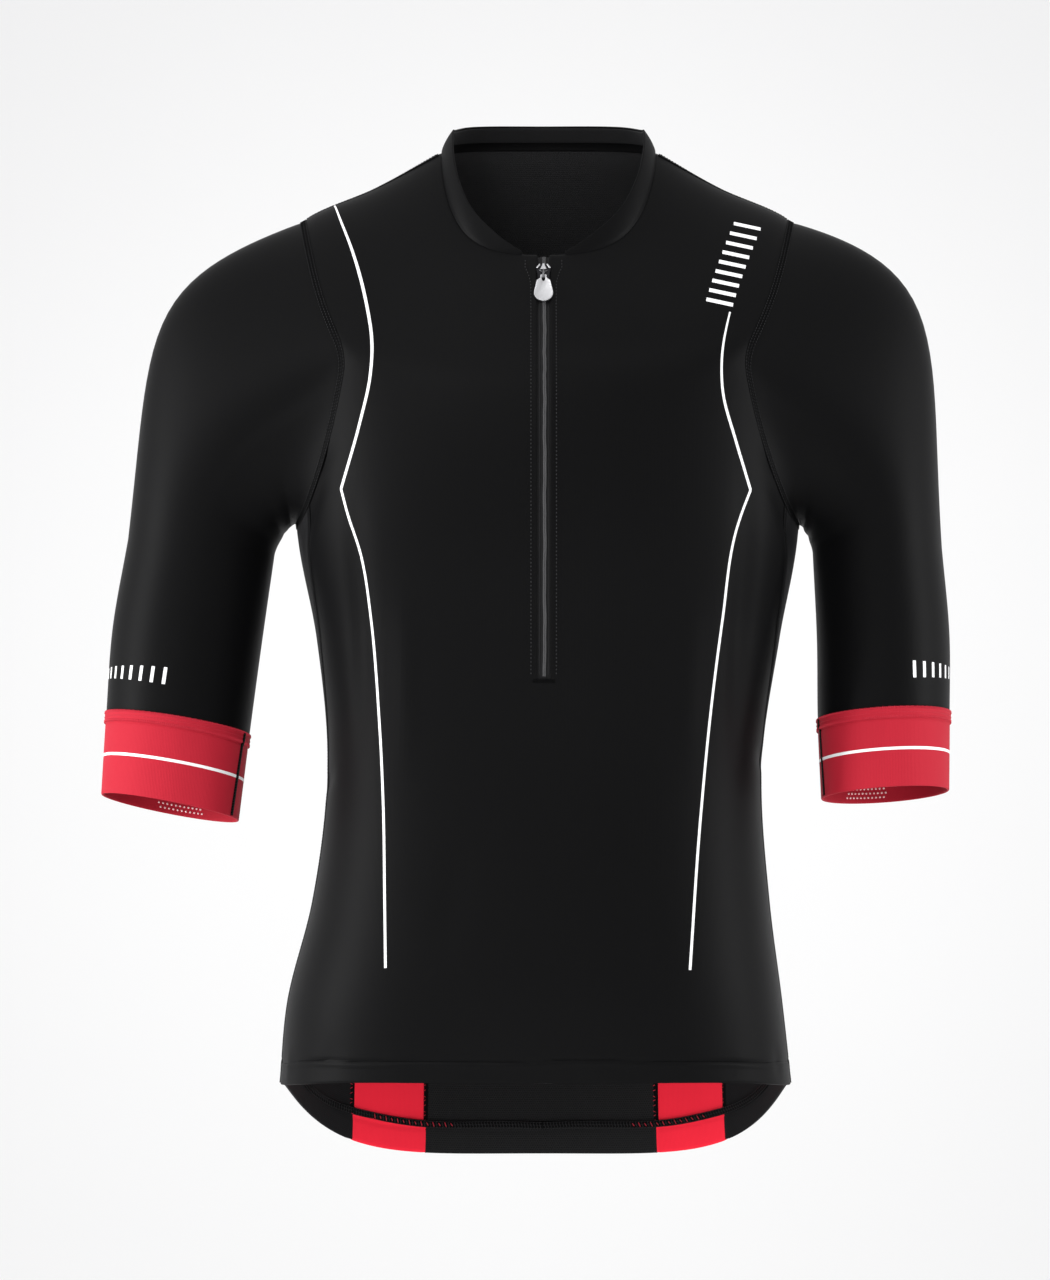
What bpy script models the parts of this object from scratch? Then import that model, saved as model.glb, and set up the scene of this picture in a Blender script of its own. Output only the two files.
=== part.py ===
"""A short-sleeved triathlon top with a half zip, in its worn shape with no wearer inside.

Metres, +Z up, front towards -Y, +X to the viewer's right. The origin is between the two points
where the shoulders meet the neck. Each piece that is cut and sewn is one object: a thin wall
lofted from the sections in the tables below, 0.3 mm from its neighbours at the seams.
"""
import math
from collections import namedtuple

import bmesh
import bpy
from mathutils import Vector

MM = 0.001
SEAM_GAP = 0.3 * MM
CLOTH = 1.2 * MM
TURNED_HEM = 2.2 * MM
CUFF_CLOTH = 1.6 * MM
TINY = 0.0001

# ---------------------------------------------------------------- the torso's sections, in mm
# A section runs from the front's middle over the side to the back's middle, lifted or dropped
# on its way. "up" is the place along the side, from the hem (0) to the neck seam. "ease" is 0
# where front and back meet in a ridge and 1 where they run round in one curve.
TorsoRow = namedtuple(
    "TorsoRow", "up half_width shift front_y side_y back_y front_z side_z back_z ease")
TORSO_ROWS = (
    TorsoRow(0, 168.5, -5.0, -107, 5, 114, -604, -614, -673, 1.0),
    TorsoRow(54, 163.0, -5.5, -108, 4, 116, -552, -561, -606, 1.0),
    TorsoRow(120, 150.5, -1.5, -103, 1, 104, -489, -495, -520, 1.0),
    TorsoRow(212, 143.0, 1.0, -98, -3, 85, -401, -403, -408, 1.0),
    TorsoRow(294, 152.5, 3.3, -105, -2, 90, -318, -321, -320, 1.0),
    TorsoRow(368, 165.5, 3.0, -114, 0, 99, -246, -247, -240, 1.0),
    TorsoRow(469, 163.0, 1.5, -110, 0, 103, -168, -114, -146, 1.0),
    TorsoRow(570, 160.5, 2.5, -93, 1, 94, -129, -46, -78, 1.0),
    TorsoRow(622, 113.0, 3.0, -79, 0, 77, -101, -24, -32, 0.85),
    TorsoRow(672, 71.0, 3.6, -62, -4, 56, -73, -1, 7, 0.45),
)
SQUARENESS = 0.035
NECK_FULLNESS = 0.12
HEM_RISE = 14.0
HEM_STEP = 1.5
ZIP_FOOT_UP = 265.0
NECK_UP = TORSO_ROWS[-1].up

# ---------------------------------------------------------------- seams on the torso
ARMHOLE_MIDDLE_UP = 469.0
ARMHOLE_HALF_HEIGHT = 101.0
ARMHOLE_FRONT_TURN = math.radians(40.5)
ARMHOLE_BACK_TURN = math.radians(30)
# A power of 2 is an oval and more is squarer; the lean takes the front further in above.
ARMHOLE_POWER = 3.0
ARMHOLE_LEAN = 0.15
# Evens the steps between the armhole's places, which a squarer loop would crowd.
ARMHOLE_EVENING = 0.12
STATIONS = 28
SIDE_STATION = 11
STRIPE_STATION = 8
# Each seam's turn at the hem; the power says how late it bends towards the armhole.
FRONT_SEAM_AT_HEM = math.radians(88)
FRONT_SEAM_POWER = 2.2
SIDE_BACK_SEAM_AT_HEM = math.radians(135)
SIDE_BACK_SEAM_POWER = 1.5
STRIPE_SEAM_AT_HEM = math.radians(155)
STRIPE_SEAM_POWER = 2.0
STRIPE_END_WIDTH = 1.2

LOW_UPS = (0, HEM_RISE, HEM_RISE + HEM_STEP, 34, 54, 76, 98, 120, 143, 166, 189, 212, 238,
           ZIP_FOOT_UP, 294, 318, 342, 366)
SHOULDER_UPS = (596, 622, 648, NECK_UP)
FRONT_COLUMNS = 10
SIDE_COLUMNS = STATIONS - 2 * SIDE_STATION
STRIPE_COLUMNS = 3
BACK_COLUMNS = 18

# ---------------------------------------------------------------- the sleeves' sections, in mm
# "down" runs from the upper arm to the cuff's hem; roll lowers the inner side, pitch the back.
SleeveRow = namedtuple(
    "SleeveRow", "down centre_x centre_y centre_z half_width half_depth roll pitch")
SLEEVE_ROWS = {
    "left": (
        SleeveRow(0, 225.2, -4, -261.0, 48.4, 51, 6.0, 3),
        SleeveRow(60, 234.4, -8, -321.0, 49.2, 50, 7.0, 5),
        SleeveRow(117, 239.8, -15, -377.5, 47.4, 49, 9.0, 8),
        SleeveRow(173, 244.4, -22, -431.5, 45.6, 48.4, 10.5, 8),
    ),
    "right": (
        SleeveRow(0, 220.2, -4, -263.0, 42.4, 55, 2.0, 3),
        SleeveRow(60, 223.8, -8, -321.0, 43.5, 54, 2.0, 5),
        SleeveRow(113, 223.6, -15, -372.4, 43.2, 52, 3.0, 8),
        SleeveRow(164, 224.0, -22, -423.0, 41.8, 51.4, 3.5, 8),
    ),
}
SIDE_SIGN = {"left": -1, "right": 1}
SHOULDER_SLOPE = {"left": math.radians(20), "right": math.radians(15.5)}
# The sleeve's head leaves the armhole and arrives at the upper arm with these pulls, as shares
# of the distance; "on top" is what the shoulder's tip has more than the armpit's level. The
# bulge, in mm, leads the head's top further out before it comes down to the arm.
HEAD_FULLNESS = {"left": 1.02, "right": 1.0}
HEAD_BULGE = {"left": 25.0, "right": 10.0}
HEAD_LEAVE = 1.15
HEAD_LEAVE_ON_TOP = 0.3
HEAD_ARRIVE = 1.35
HEAD_ARRIVE_ON_TOP = 0.4
# The share of the torso's own direction that the sleeve keeps where it crosses front and back.
HEAD_FOLLOWS_TORSO = 0.35
CAP_STEPS = 9
TUBE_STEPS = 5
CUFF_STEPS = 3

# ---------------------------------------------------------------- collar, in degrees and mm
# "turn" is measured round the neck seam from the front's middle, in degrees.
CollarRow = namedtuple("CollarRow", "turn height lean")
COLLAR_ROWS = (
    CollarRow(10, 1.8, 0.4),
    CollarRow(18, 7.0, 1.5),
    CollarRow(30, 13.5, 4.0),
    CollarRow(50, 17.0, 6.0),
    CollarRow(70, 17.0, 6.5),
    CollarRow(90, 15.5, 8.0),
    CollarRow(135, 15.5, 7.5),
    CollarRow(180, 15.5, 5.0),
)
COLLAR_FRONT_TURN = math.radians(10.2)
# How much the collar leans forward for each mm that it rises.
COLLAR_FORWARD = 0.22
COLLAR_STEPS = 3
NECK_TAPE_HEIGHT = 9.0
NECK_TAPE_INSET = 0.6
NECK_TAPE_FROM = math.radians(89)
NECK_TAPE_CLOTH = 0.9 * MM

# ---------------------------------------------------------------- zip, in mm
ZIP_SLIT_HALF = 4.15
# One row for each place across the tape: how far its face lies behind the front's outer face.
ZipProfile = namedtuple("ZipProfile", "across depth")
ZIP_PROFILE = (
    ZipProfile(-8.0, 1.55),
    ZipProfile(-2.7, 1.55),
    ZipProfile(-2.2, 0.35),
    ZipProfile(2.2, 0.35),
    ZipProfile(2.7, 1.55),
    ZipProfile(8.0, 1.55),
)
ZIP_BACK_DEPTH = 2.6
ZIP_BELOW_SLIT = 6.0
ZIP_RIDGE_START = 1.0
ZIP_TOP_UP = 670.0

SLIDER_UP = 645.0
SLIDER_WIDTH = 9.4 * MM
SLIDER_FOOT_SHARE = 0.8
SLIDER_THICKNESS = 1.7 * MM
SLIDER_ABOVE_PIN = 9.0 * MM
SLIDER_BELOW_PIN = 3.6 * MM
SLIDER_ROUNDING = 0.5 * MM
BRIDGE_RADIUS = 2.7 * MM
BRIDGE_WIRE = 0.7 * MM
BRIDGE_REACH = math.radians(118)
BRIDGE_STEPS = 12
PIN_CLEARANCE = 1.3 * MM
PULL_LENGTH = 20.0 * MM
PULL_RADIUS = 6.1 * MM
PULL_TOP_HALF = 3.3 * MM
PULL_PIN_HALF = 0.8 * MM
PULL_EYE_HALF = 1.3 * MM
PULL_EYE_FOOT = 4.0 * MM
PULL_HALF_THICKNESS = 0.75 * MM
PULL_EDGE = 0.2 * MM
PULL_TILT = math.radians(6)
PULL_ARC_STEPS = 14

BLACK_KNIT = ((0.012, 0.012, 0.014), 0.80)
BLACK_MESH = ((0.016, 0.016, 0.018), 0.85)
RED_KNIT = ((0.60, 0.012, 0.024), 0.70)
BLACK_TAPE = ((0.010, 0.010, 0.011), 0.75)
DARK_METAL = ((0.10, 0.10, 0.11), 0.35)
SILVER_METAL = ((0.55, 0.55, 0.57), 0.30)


# ---------------------------------------------------------------- reading the tables

def smooth_row(rows, at):
    """The section at a place between two rows, on a smooth curve through all of them."""
    places = [row[0] for row in rows]
    at = min(max(at, places[0]), places[-1])
    after = next(i for i in range(1, len(rows)) if at <= places[i])
    before = after - 1
    span = places[after] - places[before]
    share = (at - places[before]) / span
    columns = zip(rows[before], rows[after], row_slope(rows, before), row_slope(rows, after))
    return type(rows[0])(*(
        hermite(start, end, leave * span, arrive * span, share)
        for start, end, leave, arrive in columns))


def row_slope(rows, index):
    """How fast each column changes at a row: its neighbours' slopes, the nearer one more."""
    near = [step_slope(rows, i) for i in (index - 1, index) if 0 <= i < len(rows) - 1]
    if len(near) == 1:
        return near[0][1]
    (before, below), (after, above) = near
    return [(low * after + high * before) / (before + after) for low, high in zip(below, above)]


def step_slope(rows, index):
    """The distance from a row to the next, and how fast each column changes on the way."""
    span = rows[index + 1][0] - rows[index][0]
    return span, [(b - a) / span for a, b in zip(rows[index], rows[index + 1])]


def hermite(start, end, leave, arrive, share):
    """A cubic from start to end that leaves and arrives with the given slopes."""
    square = share * share
    cube = square * share
    return (start * (2 * cube - 3 * square + 1) + leave * (cube - 2 * square + share)
            + end * (3 * square - 2 * cube) + arrive * (cube - square))


# ---------------------------------------------------------------- the torso's surface

def torso_point(turn, up):
    """A point of the torso's outer face: turn is 0 at the front's middle, pi at the back's."""
    row = smooth_row(TORSO_ROWS, up)
    sine = math.sin(turn)
    cosine = math.cos(turn)
    across = (sine + SQUARENESS * math.sin(3 * turn)) / (1 - SQUARENESS)
    along = (cosine - SQUARENESS * math.cos(3 * turn)) / (1 - SQUARENESS)
    in_front = cosine > 0
    depth = row.side_y - row.front_y if in_front else row.back_y - row.side_y
    rise = (row.front_z if in_front else row.back_z) - row.side_z
    near = abs(cosine)
    ridge = near * (1 + NECK_FULLNESS * sine * sine)
    rounded = near * near * (3 - 2 * near)
    weight = ridge + (rounded - ridge) * row.ease
    return MM * Vector((row.shift * sine * sine + row.half_width * across,
                        row.side_y - depth * along,
                        row.side_z + rise * weight))


def torso_slopes(turn, up):
    """The surface's directions with turn and with up."""
    step = 0.004
    rise = 1.0
    low = max(up - rise, 0.0)
    high = min(up + rise, NECK_UP)
    around = (torso_point(turn + step, up) - torso_point(turn - step, up)) / (2 * step)
    upward = (torso_point(turn, high) - torso_point(turn, low)) / (high - low)
    return around, upward


def torso_normal(turn, up):
    """The direction that points out of the torso's surface."""
    around, upward = torso_slopes(turn, up)
    return around.cross(upward).normalized()


def turn_at(across, up):
    """The turn at which the front lies a number of mm to the right of its middle."""
    around, _ = torso_slopes(0.0, up)
    return across * MM / around.length


# ---------------------------------------------------------------- seams

def armhole_turn(height, forward):
    """The armhole's turn at a height from -1 to 1 about its middle, before or behind the side."""
    reach = ARMHOLE_BACK_TURN
    if forward > 0:
        reach = ARMHOLE_FRONT_TURN * (1 + ARMHOLE_LEAN * height)
    share = (1 - abs(height) ** ARMHOLE_POWER) ** (1 / ARMHOLE_POWER)
    return math.pi / 2 - math.copysign(reach * share, forward)


def armhole(station):
    """Turn and up of one of the places round the right armhole; 0 is the shoulder's tip."""
    angle = 2 * math.pi * station / STATIONS
    angle -= ARMHOLE_EVENING * math.sin(4 * angle)
    level = math.cos(angle)
    height = math.copysign(abs(level) ** (2 / ARMHOLE_POWER), level)
    up = ARMHOLE_MIDDLE_UP + ARMHOLE_HALF_HEIGHT * height
    return armhole_turn(height, math.sin(angle)), up


def seam_turn(up, at_hem, at_armhole, top_up, power):
    """The turn of a seam that rises from the hem to the armhole."""
    share = min(up / top_up, 1.0)
    return at_hem + (at_armhole - at_hem) * share ** power


def front_edge(up):
    """The front's outer edge: side seam, then armhole, then shoulder seam."""
    return edge_above(up, SIDE_STATION, front_seam(up), 1)


def front_seam(up):
    """The seam between the front and the side panel."""
    turn, top_up = armhole(SIDE_STATION)
    return seam_turn(up, FRONT_SEAM_AT_HEM, turn, top_up, FRONT_SEAM_POWER)


def side_back_seam(up):
    """The seam between the side panel and the stripe."""
    turn, top_up = armhole(STATIONS - SIDE_STATION)
    below = seam_turn(up, SIDE_BACK_SEAM_AT_HEM, turn, top_up, SIDE_BACK_SEAM_POWER)
    return edge_above(up, SIDE_STATION, below, -1)


def stripe_seam(up):
    """The seam between the stripe and the back."""
    turn, top_up = armhole(STATIONS - STRIPE_STATION)
    around, _ = torso_slopes(turn, top_up)
    end_turn = turn + STRIPE_END_WIDTH * MM / around.length
    below = seam_turn(up, STRIPE_SEAM_AT_HEM, end_turn, top_up, STRIPE_SEAM_POWER)
    return edge_above(up, STRIPE_STATION, below, -1)


def edge_above(up, station, below, forward):
    """A seam that gives way to the armhole above a station, and to the shoulder above that."""
    if up <= armhole(station)[1] + TINY:
        return below
    if up >= ARMHOLE_MIDDLE_UP + ARMHOLE_HALF_HEIGHT - TINY:
        return math.pi / 2
    return armhole_turn((up - ARMHOLE_MIDDLE_UP) / ARMHOLE_HALF_HEIGHT, forward)


def arm_ups():
    """The heights of the armhole's places, from the side seam's top to the shoulder's tip."""
    return [armhole(station)[1] for station in range(SIDE_STATION, -1, -1)]


def torso_ups():
    """The heights of all rows of points, shared by the panels so that their seams match."""
    return list(LOW_UPS) + arm_ups() + list(SHOULDER_UPS)


def wall_at(up):
    """The wall's thickness: double where the hem is turned up."""
    return TURNED_HEM if up <= HEM_RISE else CLOTH


# ---------------------------------------------------------------- walls

def draw_in(points, sides, amount=SEAM_GAP / 2):
    """Move a sheet's edges inwards, within its surface, to leave half a seam's gap."""
    rows = len(points)
    columns = len(points[0])
    moves = {}
    for side in sides:
        horizontal = side in ("bottom", "top")
        count = columns if horizontal else rows
        fixed = {"bottom": 0, "left": 0, "top": rows - 1, "right": columns - 1}[side]
        inward = 1 if fixed == 0 else -1
        for i in range(count):
            row, column = (fixed, i) if horizontal else (i, fixed)
            inner = (row + inward, column) if horizontal else (row, column + inward)
            before, after = max(i - 1, 0), min(i + 1, count - 1)
            if horizontal:
                run = points[row][after] - points[row][before]
            else:
                run = points[after][column] - points[before][column]
            away = points[inner[0]][inner[1]] - points[row][column]
            across = away - away.project(run)
            moves.setdefault((row, column), []).append(across.normalized() * amount)
    for (row, column), steps in moves.items():
        points[row][column] = points[row][column] + sum(steps, Vector())


def wall_mesh(bm, outer, inner, wraps, left_out):
    """Fill two matching grids of points with faces, and close the wall along its open edges."""
    rows = len(outer)
    columns = len(outer[0])
    skins = [[[bm.verts.new(point) for point in line] for line in grid] for grid in (outer, inner)]
    spans = columns if wraps else columns - 1
    for row in range(rows - 1):
        for column in range(spans):
            if (row, column) in left_out:
                continue
            after = (column + 1) % columns
            corners = ((row, column), (row, after), (row + 1, after), (row + 1, column))
            out_face = bm.faces.new([skins[0][r][c] for r, c in corners])
            out_face.smooth = True
            in_face = bm.faces.new([skins[1][r][c] for r, c in reversed(corners)])
            in_face.smooth = True
    partner = {}
    for out_line, in_line in zip(*skins):
        partner.update(zip(out_line, in_line))
    rims = [edge for edge in bm.edges if len(edge.link_faces) == 1
            and edge.verts[0] in partner and edge.verts[1] in partner]
    for edge in rims:
        loop = edge.link_loops[0]
        start = loop.vert
        end = loop.link_loop_next.vert
        bm.faces.new((end, start, partner[start], partner[end]))
    loose = [vert for vert in bm.verts if not vert.link_faces]
    bmesh.ops.delete(bm, geom=loose, context="VERTS")


def cloth_wall(name, points, normals, depths, finish, wraps=False, left_out=()):
    """One piece of cloth: its outer points, and inner points a wall's depth behind them."""
    inner = [[point - normal * depth for point, normal, depth in zip(*line)]
             for line in zip(points, normals, depths)]
    bm = bmesh.new()
    wall_mesh(bm, points, inner, wraps, left_out)
    bmesh.ops.recalc_face_normals(bm, faces=bm.faces)
    mesh = bpy.data.meshes.new(name)
    bm.to_mesh(mesh)
    bm.free()
    piece = bpy.data.objects.new(name, mesh)
    mesh.set_sharp_from_angle(angle=math.radians(50))
    add_piece(piece, finish)
    return piece


def add_piece(piece, finish, metallic=0.0):
    """Put a piece in the garment's collection and give it its own material."""
    colour, roughness = finish
    material = bpy.data.materials.new(piece.name)
    material.use_nodes = True
    shader = material.node_tree.nodes["Principled BSDF"]
    shader.inputs["Base Color"].default_value = (*colour, 1.0)
    shader.inputs["Roughness"].default_value = roughness
    shader.inputs["Metallic"].default_value = metallic
    material.diffuse_color = (*colour, 1.0)
    piece.data.materials.clear()
    piece.data.materials.append(material)
    bpy.data.collections["triathlon_top"].objects.link(piece)


# ---------------------------------------------------------------- the torso's panels

def panel_grid(ups, turns_at):
    """Points, normals and wall depths of a panel, from the turns that each height has."""
    points, normals, depths = [], [], []
    for up in ups:
        turns = turns_at(up)
        points.append([torso_point(turn, up) for turn in turns])
        normals.append([torso_normal(turn, up) for turn in turns])
        depths.append([wall_at(up)] * len(turns))
    return points, normals, depths


def spread(start, end, count):
    """Evenly spaced values from start to end."""
    return [start + (end - start) * i / count for i in range(count + 1)]


def front_turns(up):
    """The turns of the front's columns, from its left edge over the slit to its right edge."""
    slit = turn_at(ZIP_SLIT_HALF, up)
    edge = front_edge(up)
    neck_slit = turn_at(ZIP_SLIT_HALF, NECK_UP)
    border = (COLLAR_FRONT_TURN - neck_slit) / (math.pi / 2 - neck_slit)
    shares = [0.0] + spread(border, 1.0, FRONT_COLUMNS)
    half = [slit + (edge - slit) * share for share in shares]
    return [-turn for turn in reversed(half)] + half


def make_front():
    """The front panel: one piece, slit from the neck down to the zip's foot."""
    ups = torso_ups()
    points, normals, depths = panel_grid(ups, front_turns)
    slit_column = FRONT_COLUMNS + 1
    foot_row = ups.index(ZIP_FOOT_UP)
    slit = {(row, slit_column) for row in range(foot_row, len(ups) - 1)}
    draw_in(points, ("left", "right", "top"))
    return cloth_wall("front_panel", points, normals, depths, BLACK_KNIT, left_out=slit)


def make_side_panel(side):
    """A side panel, from the front side seam to the stripe, its top on the armhole's foot."""
    sign = SIDE_SIGN[side]
    seam_up = armhole(SIDE_STATION)[1]
    ups = list(LOW_UPS) + [seam_up]
    tops = [armhole(SIDE_STATION + i) for i in range(SIDE_COLUMNS + 1)]
    even_tops = spread(tops[0][0], tops[-1][0], SIDE_COLUMNS)
    points, normals, depths = [], [], []
    for up in ups:
        share = up / seam_up
        blend = share ** 4
        even = spread(front_seam(up), side_back_seam(up), SIDE_COLUMNS)
        line = [(turn + (top_turn - even_top) * blend, up + (top_up - seam_up) * blend)
                for turn, even_top, (top_turn, top_up) in zip(even, even_tops, tops)]
        points.append([torso_point(sign * turn, height) for turn, height in line])
        normals.append([torso_normal(sign * turn, height) for turn, height in line])
        depths.append([wall_at(up)] * len(line))
    draw_in(points, ("left", "right", "top"))
    return cloth_wall("side_panel_" + side, points, normals, depths, BLACK_KNIT)


def make_stripe(side):
    """A narrow red back stripe that rises from the hem and runs out in the armhole."""
    sign = SIDE_SIGN[side]
    ups = list(LOW_UPS) + [up for up in arm_ups() if up <= armhole(STRIPE_STATION)[1] + TINY]

    def turns(up):
        return [sign * turn for turn in spread(side_back_seam(up), stripe_seam(up), STRIPE_COLUMNS)]

    points, normals, depths = panel_grid(ups, turns)
    draw_in(points, ("left", "right", "top"))
    return cloth_wall("back_stripe_" + side, points, normals, depths, RED_KNIT)


def back_turns(up):
    """The turns of the back's columns, from its right edge to its left edge."""
    edge = stripe_seam(up)
    return spread(edge, 2 * math.pi - edge, BACK_COLUMNS)


def make_back():
    """The back's mesh panel, between the stripes and up to the shoulder seams."""
    points, normals, depths = panel_grid(torso_ups(), back_turns)
    draw_in(points, ("left", "right", "top"))
    return cloth_wall("back_panel", points, normals, depths, BLACK_MESH)


# ---------------------------------------------------------------- sleeves and cuffs

def sleeve_ring_point(side, station, down):
    """A point round the sleeve's tube; station 0 is its outer side."""
    row = smooth_row(SLEEVE_ROWS[side], down)
    angle = 2 * math.pi * station / STATIONS
    roll = math.radians(row.roll)
    pitch = math.radians(row.pitch)
    outward = Vector((math.cos(roll), 0, math.sin(roll)))
    forward = Vector((0, -math.cos(pitch), math.sin(pitch)))
    centre = Vector((row.centre_x, row.centre_y, row.centre_z))
    point = (centre + outward * row.half_width * math.cos(angle)
             + forward * row.half_depth * math.sin(angle))
    return MM * Vector((SIDE_SIGN[side] * point.x, point.y, point.z))


def armhole_point(side, station):
    """A point of the armhole's seam, in space."""
    turn, up = armhole(station)
    return torso_point(SIDE_SIGN[side] * turn, up)


def armhole_normal(side, station):
    """The torso's normal at a place of the armhole's seam."""
    turn, up = armhole(station)
    return torso_normal(SIDE_SIGN[side] * turn, up)


def away_from_torso(side, station):
    """The direction that leads out across the armhole's seam, evened over its neighbours."""
    total = Vector()
    for near in (-2, -1, 0, 1, 2):
        place = station + near
        run = armhole_point(side, place + 0.1) - armhole_point(side, place - 0.1)
        total += armhole_normal(side, place).cross(run).normalized()
    out = total.normalized() * SIDE_SIGN[side]
    fall = SHOULDER_SLOPE[side]
    slope = Vector((SIDE_SIGN[side] * math.cos(fall), 0, -math.sin(fall)))
    level = max(math.cos(2 * math.pi * station / STATIONS), 0.0)
    return out.lerp(slope, level).normalized()


def cap_point(side, station, share):
    """A point of the sleeve's head, between the armhole (0) and the upper arm (1)."""
    angle = 2 * math.pi * station / STATIONS
    level = math.cos(angle)
    start = armhole_point(side, station)
    end = sleeve_ring_point(side, station, 0)
    chord = (end - start).length
    follow = HEAD_FOLLOWS_TORSO + (1 - HEAD_FOLLOWS_TORSO) * level * level
    leaving = away_from_torso(side, station).lerp((end - start).normalized(), 1 - follow)
    arriving = sleeve_ring_point(side, station, 1) - end
    full = chord * (HEAD_FULLNESS[side] if level > 0 else 1.0)
    leave = leaving.normalized() * full * (HEAD_LEAVE + HEAD_LEAVE_ON_TOP * level)
    arrive = arriving.normalized() * full * (HEAD_ARRIVE + HEAD_ARRIVE_ON_TOP * level)
    arrive.x -= SIDE_SIGN[side] * HEAD_BULGE[side] * MM * max(level, 0.0)
    return hermite(start, end, leave, arrive, share)


def sleeve_point(side, station, along):
    """A point of the sleeve: along is 0 to 1 on its head, and then mm down its tube."""
    if along <= 1:
        return cap_point(side, station, along)
    return sleeve_ring_point(side, station, along - 1)


def sleeve_normal(side, station, along):
    """The direction that points out of the sleeve; on the seam it is the torso's own."""
    if along == 0:
        return armhole_normal(side, station)
    step = 0.01 if along <= 1 else 1.0
    low = max(along - step, 0.0)
    around = sleeve_point(side, station + 0.2, along) - sleeve_point(side, station - 0.2, along)
    downward = sleeve_point(side, station, along) - sleeve_point(side, station, low)
    normal = around.cross(downward).normalized()
    return normal if side == "right" else -normal


def tube_wall(name, side, alongs, thickness, finish, open_ends):
    """A tube of cloth round the arm, through rings at the places given."""
    stations = range(STATIONS)
    points = [[sleeve_point(side, s, along) for s in stations] for along in alongs]
    normals = [[sleeve_normal(side, s, along) for s in stations] for along in alongs]
    depths = [[thickness] * STATIONS for _ in alongs]
    closed = [line + [line[0]] for line in points]
    draw_in(closed, open_ends)
    for end in open_ends:
        row = 0 if end == "bottom" else -1
        points[row] = closed[row][:-1]
    return cloth_wall(name, points, normals, depths, finish, wraps=True)


def make_sleeve(side):
    """A sleeve: one piece from the armhole to the cuff's seam."""
    cuff_top = SLEEVE_ROWS[side][2].down
    alongs = spread(0.0, 1.0, CAP_STEPS) + [1 + down for down in spread(0, cuff_top, TUBE_STEPS)[1:]]
    return tube_wall("sleeve_" + side, side, alongs, CLOTH, BLACK_KNIT, ("bottom", "top"))


def make_cuff(side):
    """A cuff: a wide elastic band below the sleeve."""
    rows = SLEEVE_ROWS[side]
    alongs = [1 + down for down in spread(rows[2].down, rows[3].down, CUFF_STEPS)]
    return tube_wall("cuff_" + side, side, alongs, CUFF_CLOTH, RED_KNIT, ("bottom",))


# ---------------------------------------------------------------- collar and neck tape

def collar_turns():
    """Turns of the collar's columns: the same places as the panels have along the neck."""
    right = front_turns(NECK_UP)[-FRONT_COLUMNS - 1:]
    left = [2 * math.pi - turn for turn in reversed(right)]
    return right + back_turns(NECK_UP)[1:-1] + left


def collar_row(turn):
    """The collar's height and lean at a turn, the same on both sides."""
    return smooth_row(COLLAR_ROWS, math.degrees(min(turn, 2 * math.pi - turn)))


def collar_point(turn, height):
    """A point of the collar's outer face, a share of its height above the neck seam."""
    row = collar_row(turn)
    seam = torso_point(turn, NECK_UP)
    middle = (torso_point(math.pi / 2, NECK_UP) + torso_point(-math.pi / 2, NECK_UP)) / 2
    inward = (middle - seam) * Vector((1, 1, 0))
    rise = Vector((0, -COLLAR_FORWARD, 1)).normalized() * row.height * MM * height
    bend = (height + height * height) / 2
    return seam + rise + inward.normalized() * row.lean * MM * bend


def collar_normal(turn, height):
    """The direction that points out of the collar."""
    step = 0.01
    around = collar_point(turn + step, height) - collar_point(turn - step, height)
    upward = collar_point(turn, height + step) - collar_point(turn, height - step)
    return around.cross(upward).normalized()


def make_collar():
    """The stand collar, from one side of the zip round the neck to the other."""
    turns = collar_turns()
    heights = spread(0.0, 1.0, COLLAR_STEPS)
    points = [[collar_point(turn, height) for turn in turns] for height in heights]
    normals = [[collar_normal(turn, height) for turn in turns] for height in heights]
    normals[0] = [torso_normal(turn, NECK_UP) for turn in turns]
    depths = [[CLOTH] * len(turns) for _ in heights]
    draw_in(points, ("bottom",))
    return cloth_wall("collar", points, normals, depths, BLACK_KNIT)


def make_neck_tape():
    """The tape that finishes the inside of the back of the collar."""
    turns = [turn for turn in collar_turns()
             if NECK_TAPE_FROM <= turn <= 2 * math.pi - NECK_TAPE_FROM]
    points, normals = [], []
    for below_edge in (NECK_TAPE_INSET + NECK_TAPE_HEIGHT, NECK_TAPE_INSET):
        heights = [1 - below_edge / collar_row(turn).height for turn in turns]
        out = [collar_normal(turn, height) for turn, height in zip(turns, heights)]
        points.append([collar_point(turn, height) - normal * (CLOTH + SEAM_GAP)
                       for turn, height, normal in zip(turns, heights, out)])
        normals.append(out)
    depths = [[NECK_TAPE_CLOTH] * len(turns) for _ in points]
    return cloth_wall("neck_tape", points, normals, depths, BLACK_TAPE)


# ---------------------------------------------------------------- zip

def make_zip_tape():
    """The zip's tape behind the slit, with the closed coil as a low ridge along its middle."""
    flat_ups = [ZIP_FOOT_UP - ZIP_BELOW_SLIT, ZIP_FOOT_UP + ZIP_RIDGE_START]
    ridge_ups = [up for up in torso_ups() if ZIP_FOOT_UP < up < NECK_UP] + [ZIP_TOP_UP]
    ridge_ups.insert(0, ZIP_FOOT_UP + 3 * ZIP_RIDGE_START)
    points, normals, depths = [], [], []
    for up in flat_ups + ridge_ups:
        behind = [ZIP_PROFILE[0].depth if up in flat_ups else place.depth for place in ZIP_PROFILE]
        turns = [turn_at(place.across, up) for place in ZIP_PROFILE]
        out = [torso_normal(turn, up) for turn in turns]
        points.append([torso_point(turn, up) - normal * depth * MM
                       for turn, normal, depth in zip(turns, out, behind)])
        normals.append(out)
        depths.append([(ZIP_BACK_DEPTH - depth) * MM for depth in behind])
    return cloth_wall("zip_tape", points, normals, depths, BLACK_TAPE)


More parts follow.
